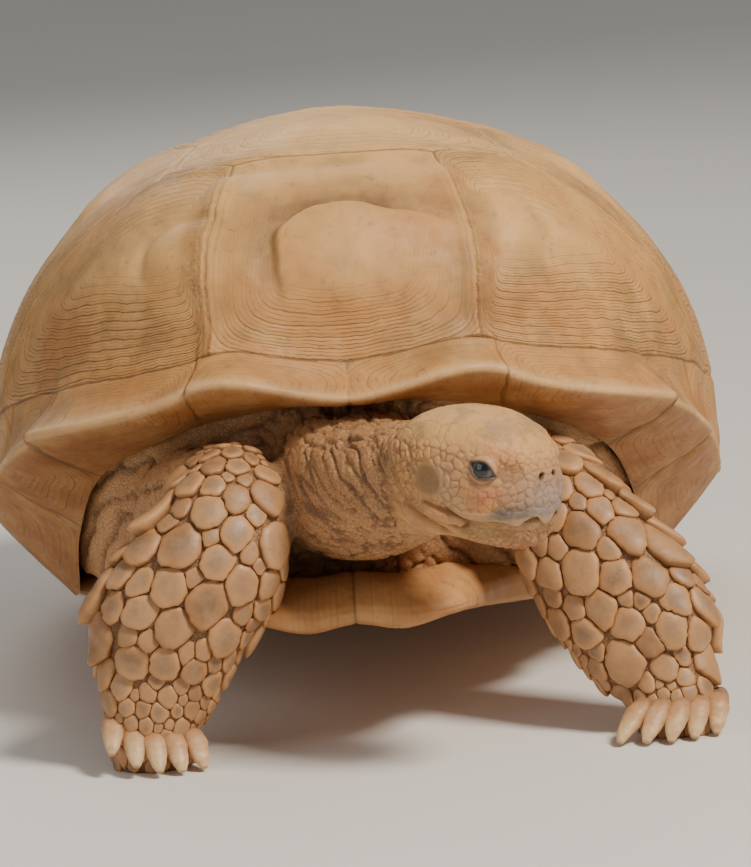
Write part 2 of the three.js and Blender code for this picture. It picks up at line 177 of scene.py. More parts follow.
def cells(points, size, seed=0, loose=0.85):
    """Distance to the nearest edge between cells (0 at the edge), and a number for each cell."""
    p = np.asarray(points, float) / size
    cell = np.floor(p).astype(np.int64)
    near = np.full(p.shape[:-1], 9.0)
    second = near.copy()
    name = np.zeros(p.shape[:-1])
    for dx in (-1, 0, 1):
        for dy in (-1, 0, 1):
            for dz in (-1, 0, 1):
                at = cell + np.array([dx, dy, dz])
                keys = [hashed(at[..., 0], at[..., 1], at[..., 2], seed + k) for k in range(4)]
                spot = at + 0.5 + loose * (np.stack(keys[:3], axis=-1) - 0.5)
                d = np.linalg.norm(p - spot, axis=-1)
                closer = d < near
                second = np.where(closer, near, np.minimum(second, d))
                name = np.where(closer, keys[3], name)
                near = np.where(closer, d, near)
    return (second - near) * size, name


# ------------------------------------------------------------------ frames
def set_shell(p):
    return turn(p, "X", -SHELL_PITCH) + np.array([0, SHELL_FORWARD, SHELL_RAISED])


def set_head(p):
    return turn(turn(p, "Y", HEAD_PITCH), "Z", HEAD_YAW - 90) + HEAD_CENTRE


def in_head(p):
    return turn(turn(np.asarray(p, float) - HEAD_CENTRE, "Z", 90 - HEAD_YAW), "Y", -HEAD_PITCH)


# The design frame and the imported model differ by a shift, read off the animal's right eye.
low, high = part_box("eye_right")
EYE_IN_MODEL = (np.array(low) + np.array(high)) * 500
SHIFT = EYE_IN_MODEL - set_head(EYE_CENTRE * np.array([1, -1, 1]))
SHIFT[0] = SHIFT[2] = 0.0


def to_scene(p):
    return (np.asarray(p, float) + SHIFT) / 1000


# ------------------------------------------------------------------ meshes
def new_object(name, verts, faces):
    """A smooth mesh object from scene-frame vertices and one or more arrays of faces."""
    groups = [faces] if isinstance(faces, np.ndarray) else [part for part in faces if len(part)]
    loops = np.concatenate([part.ravel() for part in groups])
    sizes = np.concatenate([np.full(len(part), part.shape[1]) for part in groups])
    starts = np.concatenate([[0], np.cumsum(sizes)[:-1]])
    mesh = bpy.data.meshes.new(name)
    mesh.vertices.add(len(verts))
    mesh.vertices.foreach_set("co", np.asarray(verts, np.float32).ravel())
    mesh.loops.add(len(loops))
    mesh.loops.foreach_set("vertex_index", loops.astype(np.int32))
    mesh.polygons.add(len(starts))
    mesh.polygons.foreach_set("loop_start", starts.astype(np.int32))
    mesh.update(calc_edges=True)
    mesh.polygons.foreach_set("use_smooth", np.ones(len(mesh.polygons), bool))
    obj = bpy.data.objects.new(name, mesh)
    bpy.context.scene.collection.objects.link(obj)
    return obj


def number_layer(obj, name, values):
    layer = obj.data.attributes.new(name, "FLOAT", "POINT")
    layer.data.foreach_set("value", np.asarray(values, np.float32))


def colour_layer(obj, name, values):
    layer = obj.data.attributes.new(name, "FLOAT_COLOR", "POINT")
    rgba = np.concatenate([np.clip(values, 0, 1), np.ones((len(values), 1))], axis=1)
    layer.data.foreach_set("color", rgba.astype(np.float32).ravel())


def read(items, key, width, kind=np.float32):
    """What each item of a mesh holds under a key: a number, or a row of them."""
    out = np.empty(len(items) * width, kind)
    items.foreach_get(key, out)
    return out.reshape(-1, width) if width > 1 else out


def vertices_of(mesh):
    return read(mesh.vertices, "co", 3).astype(float)


def normals_of(mesh):
    return read(mesh.vertex_normals, "vector", 3).astype(float)


def edges_of(mesh):
    return read(mesh.edges, "vertices", 2, np.int32)


def put_vertices(mesh, points):
    mesh.vertices.foreach_set("co", np.asarray(points, np.float32).ravel())
    mesh.update()


def turn_faces_out(obj):
    work = bmesh.new()
    work.from_mesh(obj.data)
    bmesh.ops.recalc_face_normals(work, faces=work.faces)
    work.to_mesh(obj.data)
    work.free()


def joined(forms):
    """Many closed forms as one: all their vertices, and their faces renumbered to suit."""
    verts, faces, total = [], [], 0
    for points, parts in forms:
        verts.append(points)
        faces.append([part + total for part in parts])
        total += len(points)
    return np.vstack(verts), [np.concatenate(kind) for kind in zip(*faces)]


def grid_normals(grid):
    """Normals of a grid [rows, columns, 3] whose columns go right round."""
    down = np.gradient(grid, axis=0)
    round_ = np.roll(grid, -1, axis=1) - np.roll(grid, 1, axis=1)
    return unit(np.cross(down, round_))


def linear(r, g, b):
    """A linear colour from one given as it looks on a screen, 0 to 255."""
    c = np.array([r, g, b]) / 255
    return np.where(c <= 0.04045, c / 12.92, ((c + 0.055) / 1.055) ** 2.4)


def painted(shape, base, *coats):
    """A base colour, or a tint already made, with coats of colour laid on by their amounts."""
    tint = np.broadcast_to(linear(*base), shape) if isinstance(base, tuple) else base
    for colour, amount in coats:
        tint = mix(tint, linear(*colour), np.clip(amount, 0, 1)[..., None])
    return tint


# ------------------------------------------------------------------ shell form
# Half of the shell seen from above, front to rear: marginal edge, edge of the body opening
# below it, and how far in and up from the marginal edge the dome begins.
RIM = [
    ((0, -336, 160), (0, -290, 153), (34, 27)),
    ((85, -337, 175), (80, -281, 147), (36, 22)),
    ((135, -318, 160), (124, -262, 133), (36, 28)),
    ((217, -250, 135), (172, -215, 105), (38, 34)),
    ((249, -150, 96), (192, -172, 60), (12, 34)),
    ((256, -90, 70), (198, -125, 14), (2, 32)),
    ((262, 10, 54), (212, -20, 3), (-1, 34)),
    ((261, 110, 52), (208, 110, 3), (-1, 34)),
    ((243, 225, 55), (178, 172, 30), (8, 32)),
    ((184, 305, 58), (150, 262, 62), (20, 30)),
    ((92, 343, 50), (80, 298, 62), (26, 30)),
    ((0, 352, 42), (0, 306, 58), (26, 32)),
]
RIM_SPANS = 2 * (len(RIM) - 1)
VERTEBRAL_CENTRES = [-272, -134, 2, 128, 240]
COSTAL_CENTRES = [(115, -200), (158, -62), (158, 72), (138, 190)]
VERTEBRAL_SWELL, COSTAL_SWELL, SWELL_WIDTH = 8, 6, 42       # the dome rises at each centre
SLOPE_ROWS, LIP_ROWS, UNDER_ROWS = 33, 7, 25      # down the marginals, round their lip, under


def mirrored(points):
    rest = [(-p[0], p[1], p[2]) for p in points[1:-1][::-1]]
    return np.array(list(points) + rest, float)


def rim_curves(s):
    edge = spline(mirrored([r[0] for r in RIM]), s, closed=True)
    opening = spline(mirrored([r[1] for r in RIM]), s, closed=True)
    begin = spline(mirrored([(0, *r[2]) for r in RIM]), s, closed=True)
    inward = unit(-edge * np.array([1, 1, 0]))
    base = edge + inward * begin[:, 1:2] + np.array([0, 0, 1]) * begin[:, 2:3]
    return edge, opening, base


def dome(base, v, inward=0.0):
    """Points of the dome: v runs from 0 at the crown to 1 where the marginals begin."""
    side = np.abs(base[..., 0]) / HALF_WIDTH
    along = np.where(base[..., 1] < DOME_Y, DOME_POWER["front"], DOME_POWER["rear"])
    power = mix(along, DOME_POWER["side"], side ** 2)
    out = np.sin(v * math.pi / 2) ** (2 / power)
    up = np.cos(v * math.pi / 2) ** (2 / power)
    p = np.stack([
        base[..., 0] * out,
        DOME_Y + (base[..., 1] - DOME_Y) * out,
        base[..., 2] + (DOME_Z - base[..., 2]) * up,
    ], axis=-1)
    away = unit(p - np.stack([p[..., 0] * 0, p[..., 1] * 0.35, p[..., 0] * 0 + 70], axis=-1))
    x, y = np.abs(p[..., 0]), p[..., 1]
    swell = VERTEBRAL_SWELL * sum(
        bell(np.hypot(x, y - cy), SWELL_WIDTH) for cy in VERTEBRAL_CENTRES)
    swell = swell + COSTAL_SWELL * sum(
        bell(np.hypot(x - cx, y - cy), SWELL_WIDTH) for cx, cy in COSTAL_CENTRES)
    return p + away * ((swell if inward == 0 else swell * 0) - inward)[..., None]


# Scutes on a flat chart of the dome (mm from the crown, animal's left and rear positive):
# corners, growth centre and number of growth rings. Costals are given for the left side.
VERTEBRALS = [
    ([(-70, -109), (70, -109), (136, -340), (-136, -340)], (3, -212), 30),
    ([(-70, -109), (70, -109), (124, -84), (98, 30), (-98, 30), (-124, -84)], (6, -52), 26),
    ([(-98, 30), (98, 30), (122, 98), (94, 168), (-94, 168), (-122, 98)], (0, 92), 26),
    ([(-94, 168), (94, 168), (112, 236), (76, 305), (-76, 305), (-112, 236)], (0, 230), 26),
    ([(-76, 305), (76, 305), (190, 640), (-190, 640)], (0, 392), 30),
]
COSTALS = [
    ([(124, -84), (70, -109), (136, -340), (500, -420), (520, -20)], (122, -176), 46),
    ([(124, -84), (520, -20), (520, 150), (122, 98), (98, 30)], (176, 22), 46),
    ([(122, 98), (520, 150), (500, 420), (112, 236), (94, 168)], (176, 168), 44),
    ([(112, 236), (500, 420), (430, 720), (190, 640), (76, 305)], (168, 330), 40),
]
# Ends of the marginals along the rim, in rim stations from the front middle to the rear, and
# how far each one's rear corner stands out and up.
MARGINAL_ENDS = [0, 1.4, 3, 3.85, 5.1, 5.95, 6.75, 7.5, 8.4, 9.15, 9.87, 10.5, 11.5]
MARGINAL_TEETH = [(1, 1), (7, 5), (3, 2), (1, 0), (1, 0), (1, 0), (1, 0), (2, 0), (4, 1), (4, 1),
                  (3, 0), (0, 0)]
MARGINAL_CENTRE = 0.62    # where along a marginal its growth centre lies
MARGINAL_RINGS = 15
STATION_LENGTH = 44       # mm along the rim from one station to the next
FIRST_COSTAL, FIRST_MARGINAL = 5, 20      # scute numbers; the vertebrals begin at 0


def edge_gauge(corners, centre, points):
    """Per edge: 0 on the growth centre's side growing to 1 on the edge; and the mm left."""
    c = np.array(corners, float)
    if np.cross(c[1] - c[0], c[2] - c[1]) < 0:
        c = c[::-1]
    along = unit(np.roll(c, -1, axis=0) - c)
    normal = np.stack([along[:, 1], -along[:, 0]], axis=1)
    reach = ((c - np.array(centre)) * normal).sum(axis=1)
    ahead = (points - np.array(centre)) @ normal.T
    return ahead / reach, reach - ahead


def from_front(station):
    """Rim stations between a place and the front middle, whichever side it is on."""
    return np.where(station > RIM_SPANS / 2, RIM_SPANS - station, station)


def marginal_teeth(station):
    """How far out and up the rim's edge stands at each place, notched at the seams."""
    out = np.zeros_like(station)
    up = np.zeros_like(station)
    half = from_front(station)
    middle = smooth(0.1, 0.9, half)
    for k, (a_out, a_up) in enumerate(MARGINAL_TEETH):
        a = (half - MARGINAL_ENDS[k]) / (MARGINAL_ENDS[k + 1] - MARGINAL_ENDS[k])
        inside = (a >= 0) & (a < 1)
        bulge = np.sin(math.pi * np.clip(a, 0, 1)) ** 0.6
        out += inside * (a_out * (np.clip(a, 0, 1) ** 3 - 0.35) + 1.6 * (bulge - 0.7))
        up += inside * a_up * (np.clip(a, 0, 1) ** 4 - 0.3)
    return out * middle, up * middle


def rim_columns(count, near, far):
    """Places round the rim, `near` apart at the front and `far` apart at the rear."""
    s = np.linspace(0, 1, 6001)
    edge = rim_curves(s)[0]
    step = np.linalg.norm(np.diff(edge, axis=0), axis=1)
    target = mix(near, far, smooth(-90, 40, edge[1:, 1]))
    run = np.concatenate([[0], np.cumsum(step / target)])
    return np.interp(np.arange(count) / count * run[-1], run, s)


def shell_surface(columns, near, far, dome_rows):
    """The shell's outside without scutes: rows from the crown to the body opening."""
    s = rim_columns(columns, near, far)
    edge, opening, base = rim_curves(s)
    front = smooth(-120, -220, edge[:, 1])[None, :, None]
    tooth_out, tooth_up = marginal_teeth(s * RIM_SPANS)
    outward = unit(edge * np.array([1, 1, 0]))
    lip = edge + outward * tooth_out[:, None]
    lip[:, 2] += tooth_up
    v = np.linspace(0, 1, dome_rows + 1)[1:]
    rows = [dome(base, t) for t in v]
    flare = smooth(-60, -240, edge[:, 1]) + 0.6 * smooth(200, 300, edge[:, 1]) - 0.35
    top_edge = lip + np.array([0, 0, 4.0]) - outward * 1.5
    for t in np.linspace(0, 1, SLOPE_ROWS + 1)[1:]:
        p = mix(base, top_edge, t)
        rows.append(p - outward * (8 * flare * 4 * t * (1 - t) * 0.8)[:, None])
    for angle in np.linspace(10, 170, LIP_ROWS):
        a = math.radians(angle)
        rows.append(lip + outward * (3.2 * math.sin(a) - 1.5)
                    + np.array([0, 0, 0.4 + 3.6 * math.cos(a)]))
    bend = np.array(rows)
    above, below = 70, 34
    part = bend[dome_rows - above:dome_rows + below]
    place = np.arange(-above, below)
    around_bend = (bell(place - 1, 26) * smooth(34, 27, place))[1:-1, None, None]
    for _ in range(260):
        part[1:-1] += front * around_bend * (0.5 * (part[:-2] + part[2:]) - part[1:-1])
    rows = list(bend)
    low_edge = rows[-1]
    for t in np.linspace(0, 1, UNDER_ROWS + 1)[1:]:
        p = mix(low_edge, opening, t)
        p[:, 2] -= 2.6 * 4 * t * (1 - t) * (1 - t)
        rows.append(p)
    return s, np.array(rows), {"dome": dome_rows, "slope": dome_rows + SLOPE_ROWS}


def scute_fields(s, grid, zone):
    """For every point: scute number, ring gauge (0 centre, 1 seam), mm to the seam."""
    rows, columns = grid.shape[:2]
    run = np.cumsum(np.linalg.norm(np.diff(grid, axis=0, prepend=grid[:1]), axis=2), axis=0)
    crown = np.array([0, DOME_Y])
    heading = unit(grid[:, :, :2] - crown)
    first = np.linalg.norm(grid[0, :, :2] - crown, axis=1)
    chart = heading * (run + first)[..., None]
    warp = np.stack([layers(grid, 34, 5), layers(grid, 34, 9)], axis=-1) * 3.2
    warp += np.stack([noise(grid, 7, 15), noise(grid, 7, 19)], axis=-1) * 0.7
    chart = chart + warp
    dome_end = run[zone["dome"] - 1] + first
    station = s * RIM_SPANS
    half = from_front(station)
    above = np.interp(half, [0, 3, 4, 5, 8, 10, 11], [-9, -6, 18, 34, 34, 26, 30])
    seam_run = dome_end - above
    walk = run + first + 0.6 * warp[..., 0]
    best = np.full((rows, columns), 9.0)
    number = np.zeros((rows, columns), int)
    gauge = np.zeros((rows, columns))
    seam = np.full((rows, columns), 99.0)
    rings = np.zeros((rows, columns))
    right_costals = [([(-x, y) for x, y in c], (-m[0], m[1]), n) for c, m, n in COSTALS]
    for k, (corners, centre, count) in enumerate(VERTEBRALS + COSTALS + right_costals):
        ratio, left = edge_gauge(corners, centre, chart)
        inner = np.hypot(*centre)
        lower = (walk - inner) / np.maximum(seam_run - inner, 1)
        ratio = np.concatenate([ratio, lower[..., None]], axis=-1)
        left = np.concatenate([left, (seam_run - walk)[..., None]], axis=-1)
        worst = ratio[..., :-1].max(axis=-1)
        soft = (np.clip(ratio, 0, None) ** 7).sum(axis=-1) ** (1 / 7)
        nearer = worst < best
        best = np.where(nearer, worst, best)
        number = np.where(nearer, k, number)
        gauge = np.where(nearer, soft, gauge)
        seam = np.where(nearer, np.abs(left).min(axis=-1), seam)
        rings = np.where(nearer, count, rings)
    # marginals: across from the seam above them to the lip, and on under to the opening
    lip_row = zone["slope"] + 3
    lip_run = (run + first)[lip_row]
    end_run = (run + first)[-1]
    marginal = walk > seam_run
    upper = (lip_run - walk) / (lip_run - seam_run)
    under = (walk - lip_run) / (end_run - lip_run)
    drop = np.where(walk < lip_run, upper, under)
    a = np.zeros(columns)
    wide = np.ones(columns)
    which = np.zeros(columns, int)
    for k in range(len(MARGINAL_ENDS) - 1):
        begin, end = MARGINAL_ENDS[k], MARGINAL_ENDS[k + 1]
        inside = (half >= begin) & (half < end)
        a = np.where(inside, (half - begin) / (end - begin), a)
        wide = np.where(inside, (end - begin) * STATION_LENGTH, wide)
        which = np.where(inside, FIRST_MARGINAL * (1 + (station > RIM_SPANS / 2)) + k, which)
    a = a[None, :] + 0.02 * warp[..., 1]
    off = np.where(a < MARGINAL_CENTRE, (MARGINAL_CENTRE - a) / MARGINAL_CENTRE,
                   (a - MARGINAL_CENTRE) / (1 - MARGINAL_CENTRE))
    m_gauge = (np.clip(off, 0, None) ** 6 + np.clip(drop, 0, 1.2) ** 6) ** (1 / 6)
    m_seam = np.minimum(np.minimum(a, 1 - a) * wide, np.abs(walk - seam_run))
    number = np.where(marginal, which[None, :], number)
    gauge = np.where(marginal, m_gauge, gauge)
    seam = np.where(marginal, np.abs(m_seam), np.minimum(seam, np.abs(walk - seam_run)))
    rings = np.where(marginal, MARGINAL_RINGS, rings)
    return {
        "number": number, "gauge": gauge, "seam": seam, "rings": rings, "chart": chart,
        "marginal": marginal, "under": marginal & (walk > lip_run), "fall": walk / lip_run,
    }


# ------------------------------------------------------------------ shell relief and colour
COSTAL_KNOBS = [(124, -170), (-120, -186)]            # growth centres of the first costals


def knob_crest(x, y):
    """Mm behind the arched crest over the first vertebral's knob, and how strong it is there."""
    across = (x - 2) / np.where(x < 2, 46, 84)
    arch = np.hypot(across, np.clip(y + 206, 0, None) / 24)
    return ((arch - 1) * 26, smooth(-262, -208, y) * smooth(1.9, 0.8, np.abs(across))
            * smooth(105, 20, x))


def rib_distance(x, y):
    """Mm beside the ribs that run along the first vertebral's sides."""
    return (np.abs(x) - (70 - 0.286 * (y + 109))) * 0.96


def shell_relief(f, grid):
    """Height in mm over the plain form: growth rings, seams, ribs and raised centres."""
    x, y = f["chart"][..., 0], f["chart"][..., 1]
    phase = f["gauge"] * f["rings"] + layers(grid, 16, 31) * 0.55
    strong = smooth(0.2, 0.5, f["gauge"]) * (0.5 + 0.5 * smooth(0.3, 0.75, f["fall"]))
    strong = strong * (0.75 + 0.4 * layers(grid, 60, 41))
    first = f["number"] == 0
    strong = np.where(first, strong * (0.12 + 0.88 * smooth(-232, -275, y)), strong)
    strong = np.where((f["number"] == 5) | (f["number"] == 9),
                      np.maximum(strong, 0.85 * smooth(0.12, 0.6, f["gauge"])), strong)
    strong = np.where(f["marginal"], 0.35 * (1 - 0.8 * f["lip"]), strong)
    coarse = (phase / 3 + 0.2 * noise(grid, 22, 77)) % 1
    fine = phase % 1
    height = strong * (0.75 * (1 - (2 * coarse - 1) ** 4) + 0.42 * (1 - (2 * fine - 1) ** 2) - 0.7)
    ahead = smooth(-150, -230, grid[..., 1]) * smooth(0.72, 0.8, f["fall"])
    groove = np.where(f["marginal"], 1.4, 1.0) * (1 - 0.6 * ahead)
    beside = rib_distance(x, y)
    flank = smooth(-112, -135, y) * bell(beside, 16) * ~f["marginal"]
    height -= groove * (1 - 0.75 * flank) * bell(f["seam"], 1.5)
    height += 0.7 * bell(f["seam"] - 6, 5) * (1 - 0.8 * ahead)
    front = smooth(-118, -140, y) * smooth(-330, -285, y)
    rib = front * (bell(beside, 8.5) * 2.6 - bell(beside, 1.3) * 1.2
                   - bell(np.abs(beside) - 5.5, 1.0) * 0.5)
    height += np.where(f["marginal"], 0, rib)
    # the first vertebral's growth centre is a knob whose crest hides a narrow valley behind it
    past, over = knob_crest(x, y)
    height += 2.8 * smooth(1.1, 0.1, np.hypot((x - 2) / 54, (y + 216) / 50))
    height += over * (2.4 * smooth(-30, -2, past) * smooth(4.5, -0.5, past)
                      - 3.8 * smooth(-0.5, 4.5, past) * smooth(44, 6, past))
    # so are the first costals', with weaker grooves
    for cx, cy in COSTAL_KNOBS:
        knob = np.hypot(x - cx, (y - cy) * 1.1)
        height += 2.6 * smooth(34, 8, knob) - 1.6 * smooth(-16, 12, y - cy) * bell(knob - 34, 6)
    # a ledge where the first vertebral meets the second
    height += (2.4 * bell(y + 103, 8) * smooth(120, 70, np.abs(x))
               - 2.0 * bell(y + 121, 7) * smooth(105, 60, np.abs(x)))
    height += 1.1 * layers(grid, 55, 3) + 0.3 * layers(grid, 9, 4)
    # the dome stays full behind the crown, and highest over its right shoulder
    height += (7.0 * smooth(205, 60, np.hypot(x, (y - 150) * 0.8))
               + 3.5 * smooth(70, 10, np.hypot(x + 158, y - 95)))
    height += (2.6 * smooth(34, 8, np.hypot(x + 14, y - 140))
               + 2.2 * smooth(30, 8, np.hypot(np.abs(x) - 178, y - 20)))
    return height, phase, strong


def shell_colours(f, grid):
    pale, wear, rust = (238, 190, 122), (134, 108, 66), (172, 104, 48)
    fall, seam, under = f["fall"], f["seam"], f["under"]
    past, over = knob_crest(f["chart"][..., 0], f["chart"][..., 1])
    return painted(
        grid.shape, (200, 144, 80),
        (pale, 0.55 * smooth(0.75, 0.15, fall) + 0.3 * layers(grid, 80, 51)),
        (rust, 0.42 * smooth(0.0, 0.6, layers(grid, 70, 52)) + 0.4 * smooth(0.6, 0.95, fall)),
        (wear, 0.55 * bell(seam - 9, 11) * smooth(-0.1, 0.5, layers(grid, 38, 53))),
        (wear, 0.5 * smooth(0.0, 0.7, layers(grid, 26, 54)) * smooth(0.2, 0.7, fall)),
        (pale, 0.35 * smooth(0.5, 0.0, f["gauge"] + 0.2 * layers(grid, 24, 57))),
        # painted shade in the valley behind the knob's crest, darkest just behind it
        ((92, 62, 36), 0.85 * over * smooth(0, 3, past) * smooth(26, 9, past)),
        ((146, 104, 62), 0.55 * over * smooth(3, 10, past) * smooth(52, 18, past)),
        (pale, 0.3 * bell(seam, 2.6) * (~f["marginal"]) * smooth(0.8, 0.72, fall)),
        # under the rim, and its lip
        ((158, 98, 46), under * (0.9 + 0.1 * layers(grid, 30, 55))),
        ((112, 64, 28), under * 0.35 * smooth(0.0, 0.6, layers(grid, 20, 56))),
        ((222, 180, 128), f["lip"] * 0.55),
    )


def shell_faces(rows, steps, columns):
    """Faces between rows that each use every steps-th column; a step halves at a time."""
    quads, tris = [], []
    index = np.arange(columns)
    for r in range(rows - 1):
        a, b = steps[r], steps[r + 1]
        here, below = r * columns, (r + 1) * columns
        left = index[::a]
        right = np.roll(left, -1)
        if a == b:
            quads.append(np.stack([here + left, here + right, below + right, below + left], axis=1))
            continue
        middle = left + b
        tris.append(np.stack([here + left, below + middle, below + left], axis=1))
        quads.append(np.stack([here + left, here + right, below + right, below + middle], axis=1))
    return np.concatenate(quads), (np.concatenate(tris) if tris else np.zeros((0, 3), int))


def build_carapace(near, far, columns, dome_rows):
    s, grid, zone = shell_surface(columns, near, far, dome_rows)
    f = scute_fields(s, grid, zone)
    run = np.arange(len(grid))[:, None] + np.zeros((1, columns))
    f["lip"] = bell(run - zone["slope"] - 2, 4.5)
    height, phase, strong = shell_relief(f, grid)
    fade = np.interp(run, [0, len(grid) - 8, len(grid) - 1], [1, 1, 0])
    formed = grid + grid_normals(grid) * (height * fade)[..., None]
    tint = shell_colours(f, grid)
    around = np.linalg.norm(np.roll(grid, -1, axis=1) - grid, axis=2).mean(axis=1)
    steps = [int(2 ** np.clip(np.floor(np.log2(max(1.25 * near / gap, 1))), 0, 5))
             for gap in around]
    for r in range(1, len(steps)):
        steps[r] = int(np.clip(steps[r], steps[r - 1] // 2, steps[r - 1]))
    quads, tris = shell_faces(len(grid), steps, columns)
    points = formed.reshape(-1, 3)
    crown = len(points)
    points = np.vstack([points, formed[0].mean(axis=0)])
    ring = np.arange(columns)[::steps[0]]
    tris = np.concatenate([tris, np.stack([np.full(len(ring), crown), np.roll(ring, -1), ring],
                                          axis=1)])
    x, y = f["chart"][..., 0], f["chart"][..., 1]
    faint = smooth(-112, -135, y) * ~f["marginal"] * bell(rib_distance(x, y), 16)
    fields = {
        "growth": np.append(phase.ravel(), 0), "strong": np.append(strong.ravel(), 0.1),
        "seam": np.append((f["seam"] + 0.9 * faint).ravel(), 50),
    }
    colour = np.vstack([tint.reshape(-1, 3), tint[0].mean(axis=0)])
    number = np.append(f["number"].ravel(), 1)
    kinds = {
        "vertebral_scutes": number < FIRST_COSTAL,
        "costal_scutes": (number >= FIRST_COSTAL) & (number < FIRST_MARGINAL),
        "marginal_scutes": number >= FIRST_MARGINAL,
    }
    made = []
    for name, chosen in kinds.items():
        parts = [faces[chosen[faces[:, 0]]] for faces in (quads, tris)]
        used = np.unique(np.concatenate([part.ravel() for part in parts]))
        renumber = np.zeros(len(points), int)
        renumber[used] = np.arange(len(used))
        obj = new_object(name, to_scene(set_shell(points[used])),
                         [renumber[part] for part in parts])
        for key, values in fields.items():
            number_layer(obj, key, values[used])
        colour_layer(obj, "tint", colour[used])
        made.append(obj)
    return made


# ------------------------------------------------------------------ materials
class Nodes:
    """A short way to write a material's node tree."""

    def __init__(self, name):
        self.material = bpy.data.materials.new(name)
        self.material.use_nodes = True
        self.tree = self.material.node_tree
        self.shader = self.tree.nodes["Principled BSDF"]

    def add(self, kind, inputs=None, **settings):
        node = self.tree.nodes.new(kind)
        for key, value in settings.items():
            setattr(node, key, value)
        for key, value in (inputs or {}).items():
            socket = node.inputs[key]
            if isinstance(value, bpy.types.NodeSocket):
                self.tree.links.new(value, socket)
            else:
                socket.default_value = value
        return node

    def attribute(self, name):
        node = self.add("ShaderNodeAttribute", attribute_name=name)
        return node.outputs["Fac"], node.outputs["Color"]

    def position(self):
        return self.add("ShaderNodeTexCoord").outputs["Object"]

    def noise(self, scale, detail=3.0, rough=0.55):
        return self.add("ShaderNodeTexNoise", {
            "Vector": self.position(), "Scale": scale, "Detail": detail, "Roughness": rough,
        }).outputs["Fac"]

    def cracks(self, scale):
        return self.add("ShaderNodeTexVoronoi", {
            "Vector": self.position(), "Scale": scale,
        }, feature="DISTANCE_TO_EDGE").outputs["Distance"]

    def math(self, operation, a, b=0.0):
        return self.add("ShaderNodeMath", {0: a, 1: b}, operation=operation).outputs[0]

    def ramp(self, value, low, high, to_low=0.0, to_high=1.0):
        return self.add("ShaderNodeMapRange", {
            "Value": value, "From Min": low, "From Max": high, "To Min": to_low, "To Max": to_high,
        }, interpolation_type="SMOOTHSTEP").outputs[0]

    def blend(self, amount, a, b):
        node = self.add("ShaderNodeMix", {"Factor": amount}, data_type="RGBA")
        for socket, value in ((node.inputs[6], a), (node.inputs[7], b)):
            if isinstance(value, bpy.types.NodeSocket):
                self.tree.links.new(value, socket)
            else:
                socket.default_value = (*value, 1.0)
        return node.outputs[2]

    def stain(self, colour, where, share, rgb):
        """The colour with another laid over it where a mask says, by a share at the most."""
        return self.blend(self.math("MULTIPLY", where, share), colour, tuple(linear(*rgb)))

    def bump(self, height, distance, strength):
        return self.add("ShaderNodeBump", {
            "Height": height, "Distance": distance, "Strength": strength,
        }).outputs["Normal"]

    def finish(self, colour, roughness, normal=None, **fixed):
        for key, value in (("Base Color", colour), ("Roughness", roughness), ("Normal", normal)):
            if isinstance(value, bpy.types.NodeSocket):
                self.tree.links.new(value, self.shader.inputs[key])
            elif value is not None:
                self.shader.inputs[key].default_value = value
        for key, value in fixed.items():
            self.shader.inputs[key.replace("_", " ")].default_value = value
        return self.material


def shell_material():
    n = Nodes("shell_keratin")
    growth = n.attribute("growth")[0]
    strong = n.attribute("strong")[0]
    seam = n.attribute("seam")[0]
    tint = n.attribute("tint")[1]
    shaken = n.math("ADD", growth, n.math("MULTIPLY", n.noise(170.0, 2.0), 0.5))
    saw = n.math("FRACT", shaken)
    line = n.ramp(n.math("ABSOLUTE", n.math("SUBTRACT", saw, 0.5)), 0.34, 0.48)
    breaks = n.ramp(n.noise(60.0, 3.0), 0.36, 0.58, 0.2, 1.0)
    line = n.math("MULTIPLY", n.math("MULTIPLY", line, breaks), strong)
    third = n.math("ABSOLUTE", n.math("SUBTRACT", n.math("FRACT", n.math("DIVIDE", shaken, 3.0)),
                                      0.5))
    deep = n.math("MULTIPLY", n.ramp(third, 0.43, 0.49), strong)
    line = n.math("MAXIMUM", n.math("MULTIPLY", line, 0.8), deep)
    dust = n.ramp(n.noise(34.0, 5.0, 0.65), 0.35, 0.75)
    colour = n.stain(tint, dust, 0.4, (226, 178, 112))
    cloud = n.ramp(n.noise(16.0, 6.0, 0.7), 0.5, 0.72)
    colour = n.stain(colour, cloud, 0.35, (148, 108, 66))
    grime = n.ramp(n.noise(95.0, 5.0, 0.7), 0.54, 0.76)
    colour = n.stain(colour, grime, 0.5, (118, 92, 60))
    colour = n.stain(colour, line, 0.85, (98, 64, 36))
    crack = n.ramp(seam, 1.4, 0.3)
    colour = n.stain(colour, crack, 0.5, (96, 72, 48))
    specks = n.ramp(n.noise(420.0, 2.0), 0.7, 0.78)
    colour = n.stain(colour, specks, 0.55, (74, 54, 36))
    grain = n.noise(900.0, 4.0, 0.7)
    relief = n.math("SUBTRACT", n.math("MULTIPLY", grain, 0.16), n.math("MULTIPLY", line, 1.0))
    relief = n.math("ADD", relief, n.math("MULTIPLY", n.noise(120.0, 4.0), 0.5))
    rough = n.ramp(n.noise(70.0, 3.0), 0.3, 0.7, 0.48, 0.66)
    return n.finish(colour, rough, n.bump(relief, 0.0006, 0.9))


